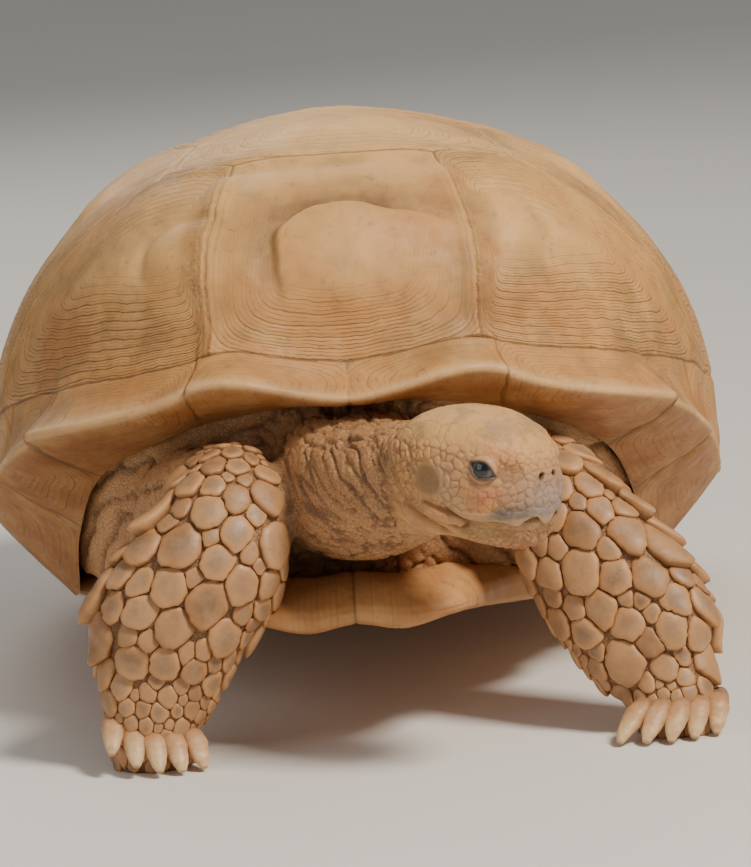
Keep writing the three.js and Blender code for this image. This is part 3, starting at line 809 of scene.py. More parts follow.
# ------------------------------------------------------------------ stage
LENS = 195.2
CAMERA_PLACE = (15.8, -3357.8, 737.1)
CAMERA_TILT, CAMERA_ROLL = 10.0, 3.7              # degrees
FLOOR_REACH = 9.0                                 # metres each way
SKY_COLOUR, SKY_STRENGTH = (0.97, 0.98, 1.0, 1), 0.25
LAMPS = {                                         # place, target, width (m), power (W), colour
    "key": ((1.5, -1.5, 2.5), (0, -0.1, 0.2), 0.7, 112, (1.0, 0.94, 0.84)),
    "fill": ((-2.4, -1.9, 1.4), (0, -0.1, 0.2), 2.2, 18, (0.97, 0.98, 1.0)),
    "back": ((-0.8, 2.6, 2.2), (0, 0, 0.25), 1.6, 30, (1.0, 0.97, 0.92)),
}


def camera_and_stage():
    cam = bpy.data.cameras.new("camera")
    cam.lens = LENS
    cam.sensor_width = 36.0
    cam.clip_start, cam.clip_end = 0.1, 60.0
    eye = bpy.data.objects.new("camera", cam)
    bpy.context.scene.collection.objects.link(eye)
    tilt, roll = math.radians(CAMERA_TILT), math.radians(CAMERA_ROLL)
    level = Vector((1, 0, 0))
    above = Vector((0, math.sin(tilt), math.cos(tilt)))
    right = level * math.cos(roll) - above * math.sin(roll)
    top = level * math.sin(roll) + above * math.cos(roll)
    back = right.cross(top)
    turned = Matrix((right, top, back)).transposed()
    eye.matrix_world = Matrix.Translation(to_scene(CAMERA_PLACE)) @ turned.to_4x4()
    bpy.context.scene.camera = eye

    corners = FLOOR_REACH * np.array([(-1, -1, 0), (1, -1, 0), (1, 1, 0), (-1, 1, 0)])
    floor = new_object("floor", corners, np.array([[0, 1, 2, 3]]))
    n = Nodes("floor_paint")
    shade = n.blend(n.noise(2.0, 2.0), tuple(linear(226, 222, 214)), tuple(linear(232, 228, 221)))
    floor.data.materials.append(n.finish(shade, 0.85))

    world = bpy.data.worlds.new("studio")
    world.use_nodes = True
    sky = world.node_tree.nodes["Background"]
    sky.inputs[0].default_value = SKY_COLOUR
    sky.inputs[1].default_value = SKY_STRENGTH
    bpy.context.scene.world = world

    for name, (place, target, width, power, colour) in LAMPS.items():
        lamp = bpy.data.lights.new(name, "AREA")
        lamp.size = width
        lamp.energy = power
        lamp.color = colour
        obj = bpy.data.objects.new(name, lamp)
        obj.location = place
        obj.rotation_euler = (Vector(target) - Vector(place)).to_track_quat("-Z", "Y").to_euler()
        bpy.context.scene.collection.objects.link(obj)


# ------------------------------------------------------------------ limbs, neck, tail, head forms
# Stations are x, y, z, width, depth, from the body outwards.
NECK = [(0, -225, 160, 134, 104), (2, -290, 164, 124, 104), (14, -345, 169, 108, 92),
        (36, -388, 181, 92, 80), (58, -418, 190, 82, 74)]
HEAD = [(-50, 36, 27, -27), (-36, 42, 37, -37), (-14, 45, 42, -40), (8, 43, 43, -41),
        (26, 38, 39, -42), (40, 31, 32, -42), (49, 25, 25, -38), (54, 17, 16, -30)]
TAIL = [(0, 244, 80, 60, 44), (1, 284, 72, 48, 36), (5, 312, 56, 34, 26), (10, 326, 34, 15, 13)]
LEGS = {
    "fore_right_upper": [(-108, -200, 138, 96, 92), (-104, -260, 150, 92, 90),
                         (-88, -312, 158, 84, 82)],
    "fore_right_arm": [(-76, -318, 184, 52, 48), (-82, -336, 160, 86, 68),
                       (-95, -350, 128, 104, 72), (-122, -360, 98, 108, 64),
                       (-133, -364, 76, 102, 60)],
    "fore_right_hand": [(-131, -358, 84, 92, 54), (-136, -362, 50, 86, 56),
                        (-142, -364, 24, 64, 58), (-141, -364, -8, 56, 58)],
    "fore_left_upper": [(108, -200, 138, 96, 92), (114, -252, 146, 92, 92),
                        (126, -292, 146, 84, 86)],
    "fore_left_arm": [(116, -290, 164, 56, 58), (130, -306, 142, 84, 76), (149, -322, 114, 94, 74),
                      (176, -342, 76, 102, 64), (193, -352, 50, 96, 56)],
    "fore_left_hand": [(188, -344, 58, 84, 50), (197, -356, 32, 66, 54), (200, -362, 14, 60, 56),
                       (201, -362, -8, 58, 56)],
    "hind_right_thigh": [(-96, 176, 104, 108, 110), (-132, 208, 96, 100, 112),
                         (-158, 228, 84, 90, 104)],
    "hind_right_shank": [(-146, 220, 96, 92, 96), (-162, 232, 66, 88, 92), (-166, 238, 34, 78, 82),
                         (-167, 238, 12, 90, 94), (-167, 238, -8, 88, 92)],
    "hind_left_thigh": [(96, 168, 104, 108, 110), (134, 186, 96, 100, 112),
                        (164, 196, 84, 90, 104)],
    "hind_left_shank": [(152, 190, 96, 92, 96), (168, 198, 66, 88, 92), (174, 202, 34, 78, 82),
                        (175, 202, 12, 90, 94), (175, 202, -8, 88, 92)],
}
CLAWS = {
    "fore_right": ((-166, -373), (-116, -381), 9, (0.2, -1), 5, 13),
    "fore_left": ((177, -381), (227, -375), 8, (-0.4, -0.92), 5, 0),
    "hind_right": ((-204, 216), (-146, 190), 9, (-0.5, -1), 4, 0),
    "hind_left": ((212, 180), (154, 154), 9, (0.5, -1), 4, 0),
}
CAP_ANGLES = np.radians([6, 20, 38, 58, 76])      # of the rings that close an end
LOWEST = 0.15             # height over the floor that no scale or claw goes under
SCALE_DEPTH = 3.0        # how far the skin of a leg lies inside the outline its scales make


def girth(stations, t):
    """Width and depth of a form at t along its stations."""
    return spline(np.column_stack([stations[:, 3:5], stations[:, 3] * 0]), t)[..., :2]


def loft(stations, front, sides, steps, power=2.3, cap=0.3, inset=0.0):
    """Rings of points from one cap to the other. `front` is the way depth is measured in."""
    st = np.array(stations, float)
    front = np.asarray(front, float)

    def ring(t, shift, scale):
        here = spline(st[:, :3], t)
        along = unit(spline(st[:, :3], min(t + 1e-4, 1)) - spline(st[:, :3], max(t - 1e-4, 0)))
        across = unit(np.cross(along, front))
        deep = unit(np.cross(across, along))
        width, depth = girth(st, t) - 2 * inset
        angle = np.linspace(0, 2 * math.pi, sides, endpoint=False)
        a = signed_power(np.cos(angle), 2 / power) * width / 2 * scale
        b = signed_power(np.sin(angle), 2 / power) * depth / 2 * scale
        return here + along * shift * depth + a[:, None] * across + b[:, None] * deep

    rings = [ring(0, -cap * math.cos(q), math.sin(q)) for q in CAP_ANGLES]
    rings += [ring(i / steps, 0, 1) for i in range(steps + 1)]
    rings += [ring(1, cap * math.cos(q), math.sin(q)) for q in CAP_ANGLES[::-1]]
    return np.array(rings)


def head_rings(sides, steps):
    st = np.array(HEAD, float)
    t = np.linspace(0, 1, steps + 1)
    place = spline(np.column_stack([st[:, :2], st[:, 0] * 0]), t)
    height = spline(np.column_stack([st[:, 2:], st[:, 0] * 0]), t)
    angle = np.linspace(0, 2 * math.pi, sides, endpoint=False)
    wide = signed_power(np.cos(angle), 2 / 2.4)
    tall = signed_power(np.sin(angle), 2 / 2.4)
    rings = []
    for k in range(steps + 1):
        reach = np.where(tall > 0, height[k, 0], -height[k, 1])
        rings.append(np.stack([wide * 0 + place[k, 0], wide * place[k, 1], tall * reach], axis=1))
    first, last = rings[0], rings[-1]
    centre = [0.5 * (r[:, 2].max() + r[:, 2].min()) for r in (first, last)]

    def closing(ring, middle, reach):
        made = []
        for q in CAP_ANGLES:
            p = ring * np.array([1, math.sin(q), math.sin(q)])
            p[:, 2] += middle * (1 - math.sin(q))
            p[:, 0] += reach * math.cos(q)
            made.append(p)
        return made

    rings = closing(first, centre[0], -8) + rings + closing(last, centre[1], 4)[::-1]
    return set_head(np.array(rings))


def closed_faces(rings, sides):
    """Quads between rings, with a triangle fan on each end."""
    i = np.arange(sides)
    j = (i + 1) % sides
    quads = [np.stack([r * sides + i, (r + 1) * sides + i, (r + 1) * sides + j, r * sides + j],
                      axis=1)
             for r in range(rings - 1)]
    first, last = rings * sides, rings * sides + 1
    fans = [np.stack([i, j, np.full(sides, first)], axis=1),
            np.stack([(rings - 1) * sides + j, (rings - 1) * sides + i, np.full(sides, last)],
                     axis=1)]
    return np.concatenate(quads), np.concatenate(fans)


def closed_form(rings):
    count, sides = rings.shape[:2]
    verts = np.vstack([rings.reshape(-1, 3), rings[0].mean(axis=0), rings[-1].mean(axis=0)])
    return verts, closed_faces(count, sides)


def trunk_rings(sides):
    """The body inside the shell, which shows as skin in the openings."""
    s = np.linspace(0, 1, sides, endpoint=False)
    _, opening, base = rim_curves(s)
    rings = [dome(base, v, 16.0)
             for v in (0.06, 0.16, 0.28, 0.4, 0.52, 0.64, 0.76, 0.86, 0.94, 0.98)]
    for scale, lowest, keep in ((0.972, 24, 1), (0.965, 28, 0.7), (0.955, 32, 0.4), (0.93, 20, 0.1),
                                (0.88, 18, 0), (0.72, 27, 0), (0.4, 27, 0), (0.1, 27, 0)):
        z = np.maximum(lowest, mix(lowest, opening[:, 2], keep))
        rings.append(np.stack([opening[:, 0] * scale, opening[:, 1] * scale, z], axis=1))
    return set_shell(np.array(rings))


def skin_sources():
    ahead, up = (0, -1, 0), (0, 0, 1)
    sources = [trunk_rings(sides=160),
               loft(NECK, up, sides=72, steps=30, power=2.2, inset=1.0),
               head_rings(sides=96, steps=60),
               loft(TAIL, up, sides=48, steps=30, inset=1.2)]
    sources += [loft(st, ahead, sides=64, steps=40, inset=SCALE_DEPTH) for st in LEGS.values()]
    return [closed_form(rings) for rings in sources]


# ------------------------------------------------------------------ one skin over the flesh
def refine(mesh, chosen):
    """Split the chosen faces in four."""
    work = bmesh.new()
    work.from_mesh(mesh)
    work.faces.ensure_lookup_table()
    edges = {edge for i in np.flatnonzero(chosen) for edge in work.faces[i].edges}
    bmesh.ops.subdivide_edges(work, edges=list(edges), cuts=1, use_grid_fill=True)
    work.to_mesh(mesh)
    work.free()


def relax(points, edges, times, amount=None):
    """Move each vertex half the way to the middle of its neighbours, or that by an amount."""
    count = np.bincount(edges.ravel(), minlength=len(points))
    count = np.maximum(count, 1)
    for _ in range(times):
        total = np.stack([
            np.bincount(edges[:, 0], points[edges[:, 1], k], len(points))
            + np.bincount(edges[:, 1], points[edges[:, 0], k], len(points)) for k in range(3)
        ], axis=1)
        move = (total / count[:, None] - points) * 0.5
        points = points + (move if amount is None else move * amount[:, None])
    return points


def near_path(points, stations, samples=30):
    """Distance from a limb's middle line over its radius there, and the place along it."""
    st = np.array(stations, float)
    t = np.linspace(0, 1, samples)
    centre = spline(st[:, :3], t)
    radius = girth(st, t).mean(axis=1) / 2
    best = np.full(len(points), 99.0)
    where = np.zeros(len(points))
    for k in range(samples):
        ratio = np.linalg.norm(points - centre[k], axis=1) / radius[k]
        nearer = ratio < best
        best = np.where(nearer, ratio, best)
        where = np.where(nearer, t[k], where)
    return best, where


def to_design(points):
    return np.asarray(points, float) * 1000 - SHIFT


def remeshed_flesh(voxel):
    verts, faces = joined(skin_sources())
    source = new_object("flesh_source", to_scene(verts), faces)
    modifier = source.modifiers.new("union", "REMESH")
    modifier.mode = "VOXEL"
    modifier.voxel_size = voxel
    evaluated = source.evaluated_get(bpy.context.evaluated_depsgraph_get())
    mesh = bpy.data.meshes.new_from_object(evaluated)
    bpy.data.objects.remove(source)
    mesh.name = "skin"
    return mesh


EYE_SEAT = np.array([28.4, 25.9, 12.2])      # the animal's left eye, in the head's own frame
EYE_AXIS = unit(np.array([0.36, 0.91, 0.16]))
EYE_LONG = unit(np.cross(np.cross(EYE_AXIS, np.array([0.86, -0.31, -0.44])), EYE_AXIS))
EYE_TALL = np.cross(EYE_LONG, EYE_AXIS) * -1
NOSTRIL = np.array([56.0, 5.8, 8.0])
JAW_MIDDLE = 20.0         # where, along the head, the angles round the jaw are measured from
# The cutting edge of the upper beak and the line of the lips, by angle from straight ahead.
BEAK_ANGLE = [0, 4, 8.3, 13.3, 20, 27, 31, 33.4, 36, 44, 51.8, 75.8, 93.3, 99, 104, 112]
BEAK_EDGE = [-24, -23.6, -20.2, -15.8, -16.6, -18.2, -22, -23.4, -23, -20.8, -19.6, -19.8, -18.9,
             -17, -14.8, -13]
LIP_ANGLE = [0, 20, 45, 76, 93, 99, 104, 110]
LIP_LINE = [-19, -18.5, -19, -19.6, -18.8, -17, -14.8, -13]
# Folds of skin at the corner of the jaw: two ends and a radius each.
JAW_FOLDS = [((-14, 42, -15), (15, 38.5, -22.5), 4.2), ((-32, 38, -20), (-3, 37.5, -34), 5.2)]


def beside(h):
    """The head's own coordinates folded on to its left side."""
    return h * np.array([1, 0, 1]) + np.abs(h) * np.array([0, 1, 0])


def mouth_angle(h):
    return np.degrees(np.arctan2(np.abs(h[:, 1]), h[:, 0] - JAW_MIDDLE))


def eye_gauges(h):
    """Arc distance from the eye's axis, the almond gauge (1 on the lid margin), and the rise."""
    ray = unit(beside(h) - EYE_SEAT)
    angle = np.arccos(np.clip(ray @ EYE_AXIS, -1, 1))
    flat = np.stack([ray @ EYE_LONG, ray @ EYE_TALL], axis=1)
    flat = unit(flat) * (angle * (EYE_RADIUS + 1))[:, None]
    along, rise = flat[:, 0], flat[:, 1]
    tall = np.where(rise > 0, 5.6, 5.0)
    almond = (np.abs(along) / 10.2) ** 1.7 + np.abs(rise) / tall
    return angle * (EYE_RADIUS + 1), almond, rise


def orbit_distance(arc):
    """Mm across the cheek from the eye's middle."""
    return 10.5 * np.tan(np.minimum(arc / (EYE_RADIUS + 1), 1.3))


def shape_eyelids(h):
    folded = beside(h)
    ray = folded - EYE_SEAT
    reach = np.linalg.norm(ray, axis=1)
    arc, almond, rise = eye_gauges(h)
    lid = EYE_RADIUS + 1.5 + 0.5 * bell(almond - 1.3, 0.3) + 0.25 * noise(folded, 2.2, 61)
    lid = lid + 0.3 * np.sin(2.6 * arc + 1.5 * noise(folded, 9, 60)) * smooth(1.3, 1.7, almond)
    under = EYE_RADIUS - 2.2
    opening = smooth(1.06, 0.9, almond)
    shaped = mix(lid, under, opening)
    out = orbit_distance(arc)
    keep = smooth(9.0, 13.0, out - 3.6 * bell(rise, 3))
    creased = (reach - (2.0 * bell(out - 14.0, 1.2) + 0.9 * bell(out - 17.5, 1.1))
               * smooth(3, -3, rise))
    creased -= (0.9 * bell(out - 12.6, 1.1) + 0.5 * bell(out - 15.5, 1.0)) * smooth(-2, 3, rise)
    target = mix(shaped, np.maximum(creased, EYE_RADIUS + 1.2), keep)
    near = smooth(24, 19, arc)
    length = mix(reach, target, near)
    moved = EYE_SEAT + ray * (length / np.maximum(reach, 1e-6))[:, None]
    side = np.where(h[:, 1] < 0, -1.0, 1.0)
    moved[:, 1] *= side
    return np.where((arc < 24)[:, None], moved, h)


def drum_gauge(folded):
    """0 in the middle of the ear drum, about 1 on its edge."""
    return np.hypot(folded[:, 0] + 5, folded[:, 2] - 2.5) / 11 + 0.2 * layers(folded, 12, 62)


def fold_height(folded):
    """Finger-like folds of skin behind the corner of the mouth, in mm."""
    height = np.zeros(len(folded))
    for start, end, radius in JAW_FOLDS:
        a, b = np.array(start)[[0, 2]], np.array(end)[[0, 2]]
        flat = folded[:, [0, 2]]
        along = np.clip(((flat - a) @ (b - a)) / ((b - a) @ (b - a)), 0, 1)
        off = np.linalg.norm(flat - (a + along[:, None] * (b - a)), axis=1)
        lift = np.sqrt(np.clip(radius ** 2 - off ** 2, 0, None)) * 0.75
        height += (lift * smooth(0, 0.35, along)
                   - 2.8 * bell(off - radius * 1.12, 1.2) * smooth(0.05, 0.4, along))
    return height * smooth(26, 33, folded[:, 1])


def head_relief(h):
    """Height of the head's relief over its smooth form, in mm."""
    folded = beside(h)
    x, y, z = folded.T
    arc = eye_gauges(h)[0]
    clear = smooth(7.5, 10, arc)
    height = (1.7 * bell(np.hypot(x - 31, (z - 27) * 1.3), 9)
              + 1.2 * bell(np.hypot(x - 30, z + 3), 8))
    height -= 1.6 * bell(np.hypot(x - 47, z - 12), 7) * smooth(14, 22, y)
    drum = drum_gauge(folded)
    on_side = smooth(30, 38, y)
    height -= on_side * 1.3 * smooth(1.15, 0.4, drum)
    angle = mouth_angle(h)
    lip = np.interp(angle, LIP_ANGLE, LIP_LINE)
    has_mouth = smooth(109, 103, angle)
    below = lip - z
    height -= has_mouth * (2.6 * bell(below, 1.0)
                           + 2.4 * smooth(-0.5, 1.2, below) * smooth(20, 6, below))
    height += 0.9 * bell(below + 3.0, 2.0) * smooth(104, 92, angle) * smooth(60, 74, angle)
    height += fold_height(folded)
    # plates on the crown, small scales on the cheeks, knobs on the jaw
    warped = folded + 1.2 * np.stack([noise(folded, 7, s) for s in (63, 64, 65)], axis=1)
    crown, _ = cells(warped, 15, 66)
    cheek, tone = cells(warped * np.array([1, 1, 1.1]), 6.2, 67)
    knob, _ = cells(warped, 4.4, 68)
    crown = np.minimum(crown, 0.6 + cells(warped, 6.5, 59)[0])
    top = smooth(22, 30, z)
    jaw = smooth(-22, -25, z) * smooth(8, 16, x)
    drumless = smooth(0.85, 1.15, drum)
    height -= top * 0.5 * bell(crown, 0.75)
    sides = (1 - top) * clear * drumless * smooth(-24, -16, z)
    height -= sides * 0.8 * bell(cheek, 0.8)
    height += sides * 0.35 * (tone - 0.5)
    red = bell(np.hypot(x - 39, (z - 17) * 0.9), 7) * clear
    height += red * (0.9 * smooth(0, 1.4, knob) - 0.3)
    height += jaw * (1.2 * smooth(0, 1.8, knob) - 0.6)
    height += 0.22 * layers(folded, 7, 69) + 0.1 * noise(folded, 2, 70)
    # skin behind the jaw creases along the neck
    nape = smooth(-8, -24, x)
    slant = folded @ unit(np.array([0.75, 0.0, 0.66])) + 2.0 * layers(folded, 18, 72)
    creases = layers(np.stack([slant, 0.3 * y, 0.3 * z], axis=1), 5, 71)
    height -= nape * 1.1 * bell(creases, 0.13) * smooth(32, 14, z)
    return height


def nostril_ring(folded):
    off = folded - NOSTRIL
    return np.hypot(off[:, 1] + 0.35 * off[:, 2], off[:, 2] * 0.8)


def shape_nostrils(h):
    ring = nostril_ring(beside(h))
    front = smooth(44, 50, h[:, 0])
    depth = 4.6 * smooth(2.2, 0.9, ring) - 0.7 * bell(ring - 3.1, 1.0)
    moved = h.copy()
    moved[:, 0] -= depth * front
    return moved


def snout_colours(h, tint):
    """The grey patch of horn over the front of the mouth, laid on the colours given."""
    folded = beside(h)
    x, y, z = folded.T
    lip = np.interp(mouth_angle(h), LIP_ANGLE, LIP_LINE)
    top = np.interp(x, [36, 42, 50, 56], [-14.5, -11, -8.5, -7])
    ragged = np.minimum(np.minimum((top - z) / 4, (z - lip - 1.0) / 2.4), (x - 35) / 5)
    grey = smooth(-0.5, 0.6, ragged + 0.6 * layers(folded, 5, 83))
    snout = smooth(40, 52, x) * smooth(9, 0, z) * (0.8 + 0.4 * layers(folded, 7, 85))
    streak = smooth(-0.35, 0.35, noise(np.stack([x * 0.8, y, z * 0.25], axis=1), 2.4, 84))
    return painted(
        h.shape, tint,
        ((158, 124, 108), 0.75 * snout),
        ((112, 106, 98), 0.8 * grey),
        ((74, 72, 70), 0.85 * grey * bell(x - 45, 9) * bell(z + 13, 6) * (0.45 + 0.55 * streak)),
        ((156, 138, 132), 0.6 * smooth(53, 57, x) * smooth(10, -2, z) * smooth(-18, -8, z)),
    )


def head_colours(h):
    folded = beside(h)
    x, y, z = folded.T
    arc, almond, rise = eye_gauges(h)
    out = orbit_distance(arc)
    patch, fine = layers(folded, 16, 81), noise(folded, 5, 82)
    angle = mouth_angle(h)
    below = np.interp(angle, LIP_ANGLE, LIP_LINE) - z
    drum = drum_gauge(folded)
    face = painted(
        h.shape, (196, 138, 78),
        # the crown, the ear and cheek, then the brow and the skin before the eye
        ((216, 164, 100), smooth(12, 30, z) * (0.75 + 0.4 * patch)),
        ((136, 108, 70), 0.55 * smooth(14, 30, z) * smooth(0.0, 0.45, layers(folded, 11, 80))),
        ((126, 92, 60), 0.45 * smooth(0.0, 0.5, layers(folded, 7, 79)) * smooth(24, 8, z)),
        ((150, 128, 112), 0.5 * smooth(22, 34, z) * bell(x - 30, 12) * smooth(-0.2, 0.4, fine)),
        ((202, 170, 128), 0.7 * bell(np.hypot(x - 8, (z - 4) * 0.8), 9)),
        ((146, 116, 76), 0.7 * smooth(1.45, 0.5, drum) * smooth(30, 38, y)),
        ((202, 166, 122), 0.55 * bell(np.hypot(x - 16, z + 9), 8)),
        ((172, 92, 60), 0.95 * bell(np.hypot(x - 39, (z - 19) * 0.9), 6.5) * (0.65 + 0.5 * fine)),
        ((186, 116, 82), 0.7 * bell(np.hypot(x - 36, z + 1), 7) + 0.4 * bell(arc - 14.5, 1.6)),
        ((206, 120, 80), 0.7 * bell(np.hypot(x - 35, z + 7.5), 5.5)),
        ((222, 166, 84), 0.7 * bell(np.hypot(x - 36, z + 9), 2.6)),
        ((158, 124, 104), 0.7 * bell(np.hypot(x - 54, z - 5), 9)),
    )
    return painted(
        h.shape, snout_colours(h, face),
        # the jaw and its folds, the lids and orbit with painted shade in the orbit's creases,
        # painted shade in the nostrils and along the line of the lips
        ((176, 120, 66), smooth(0, 4, below) * smooth(0, 10, x) * 0.8),
        ((196, 158, 96), smooth(2, 6, below) * bell(np.hypot(x - 27, z + 27), 12)
         * (0.7 + 0.4 * fine)),
        ((150, 78, 62), 0.6 * smooth(-34, -40, z) * smooth(10, 24, x)),
        ((196, 138, 96), 0.5 * smooth(0, 3, fold_height(folded))),
        ((196, 150, 112), 0.7 * smooth(2.6, 1.2, almond)),
        ((56, 42, 32), smooth(1.2, 1.02, almond) + 0.7 * smooth(1.5, 1.2, almond) * (rise > 0)),
        # painted shade in the creases round the orbit, on the same lines as the creases cut in
        # shape_eyelids
        ((112, 70, 44), 0.8 * bell(out - 14.0, 1.2) * smooth(3, -3, rise)
         + 0.4 * bell(out - 12.6, 1.2) * smooth(-2, 3, rise)),
        # painted shade in the nostril pits
        ((48, 34, 28), 0.9 * smooth(2.4, 1.6, nostril_ring(folded)) * smooth(44, 50, x)),
        # painted shade along the groove of the mouth
        ((110, 74, 48), 0.5 * bell(below, 1.1) * smooth(109, 103, angle)),
    )


NECK_GRAIN = unit(np.array([0.35, -0.75, -0.55]))     # the way the neck's long creases run


def regions_of(p):
    """How much each skin vertex belongs to the head, the neck, and the legs."""
    h = in_head(p)
    head = smooth(-50, -34, h[:, 0]) * (np.linalg.norm(h * np.array([0.8, 1, 1]), axis=1) < 66)
    limbs = {name: near_path(p, st)[0] for name, st in LEGS.items()}
    leg = np.min(list(limbs.values()), axis=0)
    neck = near_path(p, NECK)[0]
    tail = near_path(p, TAIL)[0]
    on_leg = smooth(1.3, 1.08, leg) * (1 - head)
    scaled = np.min([near for name, near in limbs.items() if not name.endswith(("upper", "thigh"))],
                    axis=0)
    on_neck = smooth(1.45, 1.15, neck) * (1 - head) * (1 - on_leg)
    return {"head": head, "leg": on_leg, "neck": on_neck, "scaled": smooth(1.35, 1.2, scaled),
            "tail": smooth(1.4, 1.15, tail) * (p[:, 1] > 150)}


def body_relief(p, zone):
    """Wrinkles of the neck and of the loose skin round the limbs, in mm."""
    bent = p + 3.0 * np.stack([layers(p, 24, s) for s in (90, 91, 92)], axis=1)
    long_way = bent - 0.68 * (bent @ NECK_GRAIN)[:, None] * NECK_GRAIN
    wide, _ = cells(long_way, 12.5, 93)
    close, _ = cells(long_way + 1.0 * noise(p, 5, 94)[:, None], 5.6, 95)
    grain = bent - 0.84 * (bent @ NECK_GRAIN)[:, None] * NECK_GRAIN
    crease = bell(layers(grain, 17, 88), 0.09) + 0.7 * bell(layers(grain, 9, 89), 0.11)
    neck = (-2.7 * crease - 0.35 * bell(wide, 1.2) - 0.5 * bell(close, 0.8)
            + 1.3 * layers(grain, 22, 96))
    arc = np.hypot(p[:, 0] / 190, (p[:, 2] - 62) / 125) * 150
    pleat = np.abs(np.sin(math.pi * (arc / 15 + 0.9 * layers(p, 40, 97))))
    pads = -3.6 * bell(pleat, 0.3) + 1.2 * layers(p, 26, 98) - 0.7 * bell(close, 0.8)
    front = smooth(-140, -170, p[:, 1])
    loose = (1 - zone["head"]) * (1 - zone["leg"]) * (1 - zone["neck"])
    rear = smooth(150, 190, p[:, 1]) * loose * (1 - zone["tail"])
    height = (zone["neck"] * neck + loose * front * pads
              + rear * (1.6 * layers(p, 22, 99) - 0.8 * bell(wide, 1.5)))
    bare = zone["leg"] * (1 - zone["scaled"])
    height += bare * (1.5 * layers(p, 18, 100) - 1.0 * bell(close, 0.8) - 3.2 * bell(pleat, 0.28))
    return height


def body_colours(p, zone, height):
    patch = layers(p, 45, 101)
    loose = (1 - zone["head"]) * (1 - zone["leg"]) * (1 - zone["neck"])
    return painted(
        p.shape, (158, 118, 84),
        ((188, 132, 80), zone["neck"] * (0.8 + 0.3 * patch)),
        # the loose skin's own light tone, lifted further as painted light against the shade under
        # the shell's rim
        ((208, 150, 96), loose * 0.9),
        ((198, 142, 90), zone["leg"] * 0.85),
        # the dark skin between the limb scales, partly its own tone and partly painted shade in the
        # gaps
        ((88, 56, 34), zone["leg"] * 0.75 * zone["scaled"]),
        ((150, 100, 62), zone["neck"] * 0.4 * smooth(0.0, 0.5, layers(p, 18, 102))),
        # painted shade where the skin's relief sinks: the neck's creases, the pleats and hollows of
        # the loose skin
        ((92, 58, 36), 0.68 * smooth(-0.7, -2.6, height) * (1 - zone["head"])),
        # painted highlight on the raised parts of the neck's skin
        ((204, 160, 120), 0.35 * smooth(0.6, 2.0, height) * zone["neck"]),
    )


FRONT_SKIN = -235         # y in front of which the loose skin is finely meshed


def build_skin(voxel):
    mesh = remeshed_flesh(voxel)
    mesh_points = to_design(vertices_of(mesh))
    put_vertices(mesh, to_scene(relax(mesh_points, edges_of(mesh), 7)))
    for level in (1, 2):
        spot = to_design(read(mesh.polygons, "center", 3))
        zone = regions_of(spot)
        fine = zone["head"] > 0.02
        if level == 1:
            fine |= (zone["neck"] > 0.05) & (spot[:, 1] < -255)
            fine |= (spot[:, 1] < FRONT_SKIN) & (zone["leg"] < 0.4)
        refine(mesh, fine)
    p = to_design(vertices_of(mesh))
    zone = regions_of(p)
    fine = np.clip(zone["head"] + zone["neck"] + (p[:, 1] < FRONT_SKIN), 0, 1)
    p = relax(p, edges_of(mesh), 5, amount=fine)
    put_vertices(mesh, to_scene(p))
    normal = normals_of(mesh)
    height = body_relief(p, zone)
    h = in_head(p)
    head_height = head_relief(h)
    plain = h.copy()
    p = p + normal * (height * (1 - zone["head"]) + head_height * zone["head"])[:, None]
    h = shape_nostrils(shape_eyelids(in_head(p)))
    p = mix(p, set_head(h), smooth(0.2, 0.8, zone["head"])[:, None])
    p[:, 2] = np.maximum(p[:, 2], 0)
    put_vertices(mesh, to_scene(p))
    mesh.polygons.foreach_set("use_smooth", np.ones(len(mesh.polygons), bool))
    skin = bpy.data.objects.new("skin", mesh)
    bpy.context.scene.collection.objects.link(skin)
    # painted shade where the head's relief sinks: the cracks between its scales, its creases and
    # grooves
    face = mix(head_colours(plain), linear(112, 74, 44),
               (0.5 * smooth(-0.15, -0.9, head_height))[:, None])
    tint = mix(body_colours(p, zone, height), face, zone["head"][:, None])
    colour_layer(skin, "tint", tint)
    number_layer(skin, "head", zone["head"])
    number_layer(skin, "wet", smooth(1.1, 0.98, eye_gauges(plain)[1]) * zone["head"])
    return skin


def skin_material():
    n = Nodes("tortoise_skin")
    tint = n.attribute("tint")[1]
    head = n.attribute("head")[0]
    mottle = n.ramp(n.noise(70.0, 5.0, 0.65), 0.3, 0.72)
    colour = n.stain(tint, mottle, 0.26, (214, 170, 116))
    dirt = n.ramp(n.noise(150.0, 4.0, 0.7), 0.55, 0.75)
    colour = n.stain(colour, dirt, 0.3, (110, 82, 58))
    pebbles = n.cracks(330.0)
    edge = n.ramp(pebbles, 0.0, 0.09, 1.0, 0.0)
    body = n.math("SUBTRACT", 1.0, head)
    edge = n.math("MULTIPLY", edge, n.math("ADD", n.math("MULTIPLY", body, 0.7), 0.2))
    colour = n.stain(colour, edge, 0.4, (92, 64, 44))
    relief = n.math("SUBTRACT", n.math("MULTIPLY", n.noise(700.0, 4.0, 0.65), 0.35),
                    n.math("MULTIPLY", edge, 0.8))
    relief = n.math("ADD", relief, n.math("MULTIPLY", n.noise(230.0, 3.0), 0.5))
    wet = n.attribute("wet")[0]
    rough = n.math("SUBTRACT", n.ramp(n.noise(90.0, 3.0), 0.3, 0.7, 0.52, 0.72),
                   n.math("MULTIPLY", wet, 0.3))
    return n.finish(colour, rough, n.bump(relief, 0.0006, 0.8))


# ------------------------------------------------------------------ horn scales of the limbs
def skin_tree(obj):
    verts = to_design(vertices_of(obj.data))
    sides = read(obj.data.polygons, "loop_total", 1, np.int32)
    loops = read(obj.data.loops, "vertex_index", 1, np.int32)
    faces = [part.tolist() for part in np.split(loops, np.cumsum(sides)[:-1])]
    return BVHTree.FromPolygons(verts.tolist(), faces)


